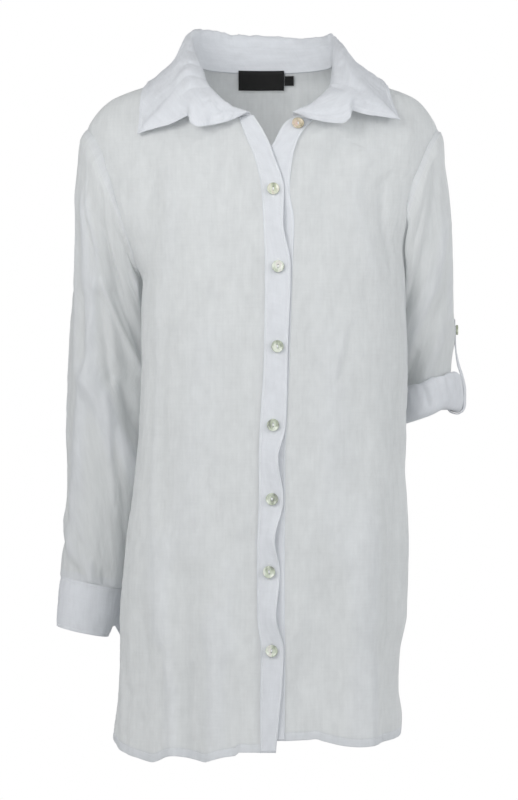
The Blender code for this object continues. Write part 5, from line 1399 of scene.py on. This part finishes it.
# %% Bare woven labels
def label(name, left_x, right_x, top_z, bottom_z, inside):
    x = np.linspace(left_x, right_x, 30)[None, :].repeat(14, axis=0)
    z = np.linspace(bottom_z, top_z, 14)[:, None].repeat(30, axis=1)
    level = np.minimum(z, -0.002)
    half = torso_size("half_left", level)
    depth = torso_size("back_y", level) - torso_size("widest_y", level)
    y = torso_size("widest_y", level) + depth * np.sqrt(1 - (x / half) ** 2) - inside
    lower = held((top_z - z) / (top_z - bottom_z))
    y -= 0.0008 * lower**2 * (1 + 0.5 * np.sin(140 * x))
    grid = np.stack([x, y, z], axis=-1)
    return sew(name, grid, np.broadcast_to((0.0, -1.0, 0.0), grid.shape), wall=0.0005)


label("tape_neck_label", -0.0315, 0.0229, 0.0015, -0.0215, 0.003)
label("tape_size_label", 0.0234, 0.0345, -0.005, -0.016, 0.003)
print("labels made")

# %% [markdown]
# ## Buttons
# The buttons are turned shell discs of 15 mm with a raised rim, a shallow dish and two holes, one above the
# other, sewn on with white thread. One is modelled from a cylinder and copied.

# %% One shell button
BUTTON_RADIUS = 0.0074
BUTTON_THICKNESS = 0.0024
HOLE_RADIUS = 0.00095
HOLE_SPACING = 0.0036
# The scene draws the buttons slightly smaller than the solids, as they look in the photograph.
FRONT_BUTTON_SIZE, STRAP_BUTTON_SIZE = 0.93, 0.8
STRAND_OFFSETS = (-0.00055, -0.00018, 0.00018, 0.00055)


def cylinder(sides, radius, depth, **placing):
    select_only()
    bpy.ops.mesh.primitive_cylinder_add(vertices=sides, radius=radius, depth=depth, **placing)
    return bpy.context.object


def apply_place():
    bpy.ops.object.transform_apply(location=True, rotation=True, scale=True)


def pick_faces(made, test):
    bpy.ops.object.mode_set(mode="EDIT")
    bpy.ops.mesh.select_all(action="DESELECT")
    bpy.ops.object.mode_set(mode="OBJECT")
    for face in made.data.polygons:
        face.select = bool(test(face))
    bpy.ops.object.mode_set(mode="EDIT")


def inset_faces(made, test, *insets):
    pick_faces(made, test)
    for thickness, depth in insets:
        bpy.ops.mesh.inset(thickness=thickness, depth=depth)
    bpy.ops.object.mode_set(mode="OBJECT")


def shell_button():
    made = cylinder(64, BUTTON_RADIUS, BUTTON_THICKNESS, location=(0, 0, BUTTON_THICKNESS / 2))
    apply_place()
    bpy.context.tool_settings.mesh_select_mode = (False, False, True)
    inset_faces(made, lambda face: face.normal.z > 0.9, (0.0013, 0.0), (0.0009, -0.0006), (0.002, -0.0002))
    inset_faces(made, lambda face: face.normal.z < -0.9, (0.001, 0.0005))
    rounded = made.modifiers.new("turned edges", "BEVEL")
    rounded.width = 0.00045
    rounded.segments = 3
    rounded.limit_method = "ANGLE"
    rounded.angle_limit = math.radians(30)
    bpy.ops.object.modifier_apply(modifier="turned edges")
    for up in (-HOLE_SPACING / 2, HOLE_SPACING / 2):
        drill = cylinder(20, HOLE_RADIUS, 0.01, location=(0, up, 0.001))
        select_only(made)
        bore = made.modifiers.new("hole", "BOOLEAN")
        bore.operation = "DIFFERENCE"
        bore.solver = "EXACT"
        bore.object = drill
        bpy.ops.object.modifier_apply(modifier="hole")
        bpy.data.objects.remove(drill)
    bpy.ops.object.shade_smooth_by_angle(angle=math.radians(35))
    return made


def sewing_thread():
    """One strand from hole to hole, in a low arch."""
    strand = cylinder(8, 0.00026, HOLE_SPACING, rotation=(math.radians(90), 0, 0))
    apply_place()
    bpy.ops.object.mode_set(mode="EDIT")
    bpy.ops.mesh.select_all(action="SELECT")
    bpy.ops.mesh.subdivide(number_cuts=7)
    bpy.ops.object.mode_set(mode="OBJECT")
    for vertex in strand.data.vertices:
        share = 2 * vertex.co.y / HOLE_SPACING
        vertex.co.z += 0.0021 - 0.0011 * share**4
    bpy.ops.object.shade_smooth_by_angle(angle=math.radians(60))
    return strand


button_shape = shell_button()
strand_shape = sewing_thread()
print("button faces", len(button_shape.data.polygons), "strand faces", len(strand_shape.data.polygons))


# %% Setting a button on the cloth
def place_copy(shape, name, centre, outward, shift=(0.0, 0.0), turn=0.0, size=1.0):
    outward = Vector(outward).normalized()
    upward = (Vector((0, 0, 1)) - outward * outward.z).normalized()
    frame_of = Matrix((upward.cross(outward), upward, outward)).transposed().to_4x4()
    frame_of.translation = Vector(centre)
    made = bpy.data.objects.new(name, shape.data.copy())
    turned = Matrix.Rotation(turn, 4, "Z") @ Matrix.Diagonal((size, size, 1.0, 1.0))
    made.data.transform(frame_of @ turned @ Matrix.Translation((*shift, 0.0)))
    bpy.context.scene.collection.objects.link(made)
    return made


def join(name, parts):
    select_only(*reversed(parts))
    bpy.ops.object.join()
    joined = bpy.context.object
    joined.name = name
    joined.data.name = name
    return joined


def sewn_button(number_name, centre, outward, lean=0.0, size=1.0):
    centre = Vector(centre) + Vector(outward).normalized() * 0.0008
    disc = place_copy(button_shape, "shell_" + number_name, centre, outward, turn=lean, size=size)
    pieces["shell_" + number_name] = disc
    strands = [
        place_copy(strand_shape, "strand", centre, outward, shift=(offset, 0.0), turn=lean, size=size)
        for offset in STRAND_OFFSETS
    ]
    pieces["thread_" + number_name] = join("thread_" + number_name, strands)


def front_button(number_name, x, z, stand_off, lean):
    spread = 0.004
    around = torso_point(front_angle((x, x + spread, x), (z, z, z + spread)), (z, z, z + spread))
    outward = np.cross(around[1] - around[0], around[2] - around[0])
    outward /= np.linalg.norm(outward)
    sewn_button(number_name, around[0] + outward * (stand_off + 0.00065), outward, lean, FRONT_BUTTON_SIZE)
    return around[0] + outward * (stand_off + 0.0005), outward


button_seats = []
LEANS = (0.05, -0.12, 0.2, 0.02, -0.08, 0.15, -0.2)
for number, ((button_x, button_z), lean) in enumerate(zip(FRONT_BUTTONS, LEANS), start=1):
    button_seats.append(front_button(f"button_{number}", button_x, button_z, PLACKET_STEP, lean))
front_button("button_neck", NECK_BUTTON[0], NECK_BUTTON[1], -PLACKET_STEP, 0.1)
sewn_button("button_tab_left", (TAB_PATH[1][0] - 0.0001, TAB_MIDDLE_Y, TAB_PATH[1][1]), (1.0, 0.0, 0.0),
            size=STRAP_BUTTON_SIZE)
for shape in (button_shape, strand_shape):
    bpy.data.objects.remove(shape)
print("buttons set", len(LEANS) + 2)

# %% [markdown]
# ## Stitches
# Every seam of a shirt is held by a row of small white stitches that sink into the cloth. Each is a short
# thread with rounded ends. One is modelled, and copies of it are laid along the remembered lines.

# %% One stitch
STITCH_LENGTH = 0.0024
STITCH_PITCH = 0.0031
STITCH_RADIUS = 0.00021


def stitch_shape():
    made = cylinder(6, STITCH_RADIUS, STITCH_LENGTH * 0.7, end_fill_type="NGON")
    bpy.context.tool_settings.mesh_select_mode = (False, False, True)
    for end in (1, -1):
        pick_faces(made, lambda face: face.normal.z * end > 0.9)
        bpy.ops.mesh.extrude_region_move(TRANSFORM_OT_translate={"value": (0, 0, end * STITCH_LENGTH * 0.15)})
        bpy.ops.transform.resize(value=(0.45, 0.45, 1))
        bpy.ops.object.mode_set(mode="OBJECT")
    return made


one_stitch = stitch_shape()
stitch_points = np.array([tuple(v.co) for v in one_stitch.data.vertices])
stitch_faces = [tuple(face.vertices) for face in one_stitch.data.polygons]
bpy.data.objects.remove(one_stitch)
print("stitch faces", len(stitch_faces))


# %% Laying stitches along lines
def lay_thread(name, places, alongs, ups, stretch=1.0):
    """One mesh of stitches at places, each along its own direction."""
    sides = unit(np.cross(ups, alongs))
    ups = unit(np.cross(alongs, sides))
    local = stitch_points * (1, 1, stretch)
    points = (places[:, None] + local[None, :, 2:3] * alongs[:, None] + local[None, :, 0:1] * sides[:, None]
              + local[None, :, 1:2] * ups[:, None])
    count = len(stitch_points)
    faces = [tuple(k * count + i for i in face) for k in range(len(places)) for face in stitch_faces]
    return link_mesh(name, points, faces)


def stitches_on(name):
    places, alongs, ups = [], [], []
    for points, outward in stitch_lines[name]:
        run = lengths_along(points)
        middles = np.arange(STITCH_PITCH, run[-1] - STITCH_PITCH, STITCH_PITCH)
        here = even_table(run, points, middles)
        places.append(here)
        alongs.append(unit(even_table(run, points, middles + 0.001) - here))
        ups.append(unit(even_table(run, outward, middles)))
    return lay_thread(name.replace("linen", "thread"), *map(np.concatenate, (places, alongs, ups)))


total_stitches = 0
for piece_name in list(stitch_lines):
    total_stitches += len(stitches_on(piece_name).data.vertices) // len(stitch_points)
print("stitches laid", total_stitches)

# %% [markdown]
# ## Buttonholes
# Each buttonhole is an upright slot with close satin stitches round it. Under its button only the ends show.


# %% Satin stitches round a slot
def buttonholes(name, seats):
    places, alongs, ups = [], [], []
    half_length, half_width = 0.0088, 0.0006
    turn = np.linspace(0, 2 * np.pi, 84, endpoint=False)
    for centre, outward in seats:
        upward = unit(np.array([0, 0, 1.0]) - outward * outward[2])
        sideways = np.cross(upward, outward)
        straight = np.clip(np.sin(turn) * 1.5, -1, 1) * half_length
        aside = np.cos(turn) * half_width * 1.6
        place = centre + straight[:, None] * upward + aside[:, None] * sideways
        along = unit(np.cos(turn)[:, None] * sideways + 0.5 * np.sin(turn)[:, None] ** 5 * upward)
        places.append(place + outward * 0.00005)
        alongs.append(along)
        ups.append(np.broadcast_to(outward, place.shape))
    return lay_thread(name, *map(np.concatenate, (places, alongs, ups)), stretch=0.55)


buttonholes("thread_buttonholes", button_seats)
print("buttonholes", len(button_seats))

# %% [markdown]
# ## Linen
# Washed linen is a plain weave of uneven threads: here and there a thick slub, and more of them down the
# cloth than across it. One node group makes the weave from the cloth's own map in metres. It gives a tone
# and a height, and each material uses it with its own strength.

# %% Maths and noise nodes
def maths(tree, operation, *inputs):
    return add_node(tree, "ShaderNodeMath", enumerate(inputs), operation=operation).outputs[0]


def noise(tree, place, stretch, detail, rough=0.5):
    """Noise with this many cells in a metre each way."""
    stretched = add_node(tree, "ShaderNodeMapping", {"Vector": place, "Scale": stretch}).outputs["Vector"]
    levels = {"Vector": stretched, "Scale": 1.0, "Detail": detail, "Roughness": rough}
    return add_node(tree, "ShaderNodeTexNoise", levels).outputs["Fac"]


# %% The weave
def weave_group():
    group = bpy.data.node_groups.new("linen weave", "ShaderNodeTree")
    group.interface.new_socket("Cloth", in_out="INPUT", socket_type="NodeSocketVector")
    for name, start in (("Threads per metre", 1500.0), ("Slubs", 1.0), ("Crinkle", 1.0)):
        group.interface.new_socket(name, in_out="INPUT", socket_type="NodeSocketFloat").default_value = start
    for name in ("Tone", "Height"):
        group.interface.new_socket(name, in_out="OUTPUT", socket_type="NodeSocketFloat")
    given = add_node(group, "NodeGroupInput").outputs
    place = add_node(group, "ShaderNodeSeparateXYZ", {0: given["Cloth"]}).outputs

    def plus(a, b):
        return maths(group, "ADD", a, b)

    def times(a, b):
        return maths(group, "MULTIPLY", a, b)

    def about(value, middle, share):
        return times(maths(group, "SUBTRACT", value, middle), share)

    def uneven(stretch, detail=3.0):
        return noise(group, given["Cloth"], stretch, detail, 0.55)

    def profile(way, slub):
        """Height of the threads that lie side by side this way."""
        angle = plus(times(place[way], density), times(slub, 2.4))
        return maths(group, "ABSOLUTE", maths(group, "SINE", angle))

    warp_slub, weft_slub = uneven((330.0, 22.0, 1.0)), uneven((34.0, 400.0, 1.0))
    crinkle, blotch = uneven((120.0, 52.0, 1.0), 4.0), uneven((36.0, 15.0, 1.0))
    density = times(given["Threads per metre"], math.pi)
    threads = times(plus(profile("X", warp_slub), profile("Y", weft_slub)), 0.5)
    slub = times(plus(about(warp_slub, 0.5, 0.6), about(weft_slub, 0.5, 0.38)), given["Slubs"])
    # The crinkle's tone is lighter where its bump rises, a painted shade in its hollows; the blotch is random
    # tone.
    crinkle_shade_and_blotch = plus(about(crinkle, 0.5, 0.15), about(blotch, 0.5, 0.12))
    tone = plus(plus(times(slub, 0.15), crinkle_shade_and_blotch), about(threads, 0.64, 0.1))
    height = plus(times(threads, 0.00009), times(slub, 0.00022))
    folds = times(times(crinkle, 0.0008), given["Crinkle"])
    add_node(group, "NodeGroupOutput", {"Tone": tone, "Height": plus(height, folds)})
    return group


weave = weave_group()
print("weave nodes", len(weave.nodes))


# %% What several materials use
def weave_on_cloth(tree, inputs):
    """The weave on the cloth's own map."""
    cloth = add_node(tree, "ShaderNodeUVMap", uv_map="cloth").outputs["UV"]
    return add_node(tree, "ShaderNodeGroup", {"Cloth": cloth, **inputs}, node_tree=weave).outputs


def mixed(tree, share, first, second, **settings):
    levels = {"Factor": share, 6: first, 7: second}
    return add_node(tree, "ShaderNodeMix", levels, data_type="RGBA", **settings).outputs[2]


def grey(tree, level):
    return add_node(tree, "ShaderNodeCombineColor", enumerate([level] * 3)).outputs[0]


def bump(tree, height, **levels):
    return add_node(tree, "ShaderNodeBump", {"Height": height, **levels}).outputs["Normal"]


# %% [markdown]
# ## The linen material
# The cloth scatters light back and lets some of it through, so the surface mixes a rough Principled shader
# with a Translucent one. Doubled cloth is whiter and cooler, and lets less light through. The same mark also
# paints a highlight on the ridges of the creases.

# %% Linen
LINEN_SINGLE = (0.798, 0.814, 0.815, 1.0)
LINEN_DOUBLE_AND_RIDGE_HIGHLIGHT = (0.812, 0.832, 0.864, 1.0)


def linen_material(name, through, crinkle):
    rough = {"Roughness": 0.88, "Specular IOR Level": 0.25, "Sheen Weight": 0.12, "Sheen Roughness": 0.5}
    made, tree, surface = new_material(name, rough)
    cloth = weave_on_cloth(tree, {"Crinkle": crinkle})
    # The double mark whitens doubled cloth and, on panels and sleeves, paints a highlight on crease ridges.
    double = add_node(tree, "ShaderNodeAttribute", attribute_name="double").outputs["Fac"]
    colour = mixed(tree, double, LINEN_SINGLE, LINEN_DOUBLE_AND_RIDGE_HIGHLIGHT)
    level = grey(tree, maths(tree, "ADD", cloth["Tone"], 0.985))
    toned = mixed(tree, 1.0, colour, level, blend_type="MULTIPLY")
    normal = bump(tree, cloth["Height"], Strength=0.8, Distance=1.0)
    feed(tree, surface, {"Base Color": toned, "Normal": normal})
    glow = add_node(tree, "ShaderNodeBsdfTranslucent", {"Color": toned, "Normal": normal}).outputs[0]
    both = add_node(tree, "ShaderNodeMixShader", {0: through, 1: surface.outputs[0], 2: glow}).outputs[0]
    feed(tree, tree.nodes["Material Output"], {"Surface": both})
    return made


linen_single = linen_material("linen single", 0.33, 1.0)
linen_double = linen_material("linen double", 0.22, 0.55)

# %% [markdown]
# ## Shell, tape and thread
# Mother-of-pearl is pale green to rose in soft bands under a clear polish. The label is a dense black tape
# with a fine rib. The thread is plain white and slightly glossy.


# %% Mother-of-pearl
def shell_material(name, tint=(1.0, 1.0, 1.0)):
    polish = {"Roughness": 0.22, "Coat Weight": 0.6, "Coat Roughness": 0.08}
    made, tree, surface = new_material(name, polish)
    place = add_node(tree, "ShaderNodeTexCoord").outputs["Object"]
    bands = noise(tree, place, (130.0, 130.0, 60.0), 3.0, 0.6)
    ramp = add_node(tree, "ShaderNodeValToRGB", {"Fac": bands})
    stops = ramp.color_ramp.elements
    stops[0].position, stops[0].color = 0.32, (0.22, 0.23, 0.18, 1.0)
    stops[1].position, stops[1].color = 0.74, (0.62, 0.54, 0.5, 1.0)
    for position, colour in ((0.44, (0.42, 0.46, 0.33, 1.0)), (0.57, (0.66, 0.69, 0.55, 1.0))):
        stops.new(position).color = colour
    for stop in stops:
        stop.color = (*(part * share for part, share in zip(stop.color, tint)), 1.0)
    normal = bump(tree, noise(tree, place, (500.0, 500.0, 1800.0), 2.0), Strength=0.25, Distance=0.0002)
    feed(tree, surface, {"Base Color": ramp.outputs["Color"], "Normal": normal})
    return made


# %% Black tape
def tape_material():
    made, tree, surface = new_material("black tape", {"Roughness": 0.7, "Specular IOR Level": 0.3})
    cloth = weave_on_cloth(tree, {"Threads per metre": 2600.0, "Slubs": 0.3, "Crinkle": 0.2})
    level = maths(tree, "ADD", maths(tree, "MULTIPLY", cloth["Tone"], 0.04), 0.007)
    normal = bump(tree, cloth["Height"], Strength=0.7)
    feed(tree, surface, {"Base Color": grey(tree, level), "Normal": normal})
    return made


# %% White thread
def thread_material():
    made, tree, surface = new_material("white thread", {"Roughness": 0.55})
    place = add_node(tree, "ShaderNodeTexCoord").outputs["Object"]
    twist = noise(tree, place, (2500.0, 2500.0, 2500.0), 1.0)
    feed(tree, surface, {"Base Color": mixed(tree, twist, (0.8, 0.815, 0.83, 1.0), (0.9, 0.91, 0.92, 1.0))})
    return made


shell = shell_material("pearl shell")
cool_shell = shell_material("cool pearl shell", (1.06, 1.075, 1.17))
warm_shell = shell_material("warm pearl shell", (1.1, 0.9, 0.85))
tape, thread = tape_material(), thread_material()

# %% [markdown]
# ## Finishing the pieces
# Each piece gets its material and stands for its solid, which is hidden. The table also lists each sheet's
# flat size, the rectangle it comes out of, its own area where the cut isn't a rectangle, and what it rests
# on, but nothing here reads these.

# %% What each sheet is
SHEET_COLUMNS = ("piece", "node", "material", "flat", "area", "rests_on")
SHEETS = (
    ("linen_back", "back", "single", (0.53, 0.82), 0.33, ("linen_collar_stand",)),
    ("linen_front_right", "front_right", "single", (0.31, 0.82), 0.205, ("linen_back",)),
    ("linen_front_left", "front_left", "single", (0.28, 0.8), 0.185, ("linen_back",)),
    ("linen_sleeve_right", "sleeve_right", "single", (0.46, 0.54), 0.17, ("linen_front_right",)),
    ("linen_sleeve_left", "sleeve_left", "single", (0.46, 0.34), 0.095, ("linen_front_left",)),
    ("linen_placket_right", "placket_right", "double", (0.026, 0.71), None, ("linen_front_right",)),
    ("linen_placket_left", "placket_left", "double", (0.033, 0.71), None, ("linen_front_left",)),
    ("linen_collar_stand", "collar_stand", "double", (0.45, 0.024), None, ("linen_back",)),
    ("linen_collar_leaf", "collar_leaf", "double", (0.59, 0.088), None, ("linen_collar_stand",)),
    ("linen_cuff_right", "cuff_right", "double", (0.24, 0.06), None, ("linen_sleeve_right",)),
    ("linen_roll_left", "roll_left", "double", (0.33, 0.088), None, ("linen_sleeve_left",)),
    ("linen_strap_left", "tab_left", "double", (0.024, 0.19), None, ("linen_roll_left",)),
)


# %% Dressing the solids
def dress(piece, finish, slot_name, *replaced):
    piece.data.materials.clear()
    piece.data.materials.append(finish)
    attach(piece, "root")
    if replaced:
        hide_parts(*replaced)


finishes = {"single": linen_single, "double": linen_double}
for row in SHEETS:
    sheet = dict(zip(SHEET_COLUMNS, row))
    made = pieces[sheet["piece"]]
    dress(made, finishes[sheet["material"]], "linen", sheet["node"])
    stitched = sheet["piece"].replace("linen", "thread")
    if stitched in pieces:
        dress(pieces[stitched], thread, "linen")
for name in [*(f"button_{number}" for number in range(1, 8)), "button_neck", "button_tab_left"]:
    paint = {"button_neck": warm_shell, "button_1": shell, "button_tab_left": shell}.get(name, cool_shell)
    dress(pieces["shell_" + name], paint, "shell", name)
    dress(pieces["thread_" + name], thread, "linen")
dress(pieces["thread_buttonholes"], thread, "linen")
dress(pieces["tape_neck_label"], tape, "label", "neck_label")
dress(pieces["tape_size_label"], tape, "label", "size_label")
print("pieces", len(pieces), "triangles", sum(len(p.data.polygons) * 2 for p in pieces.values()))
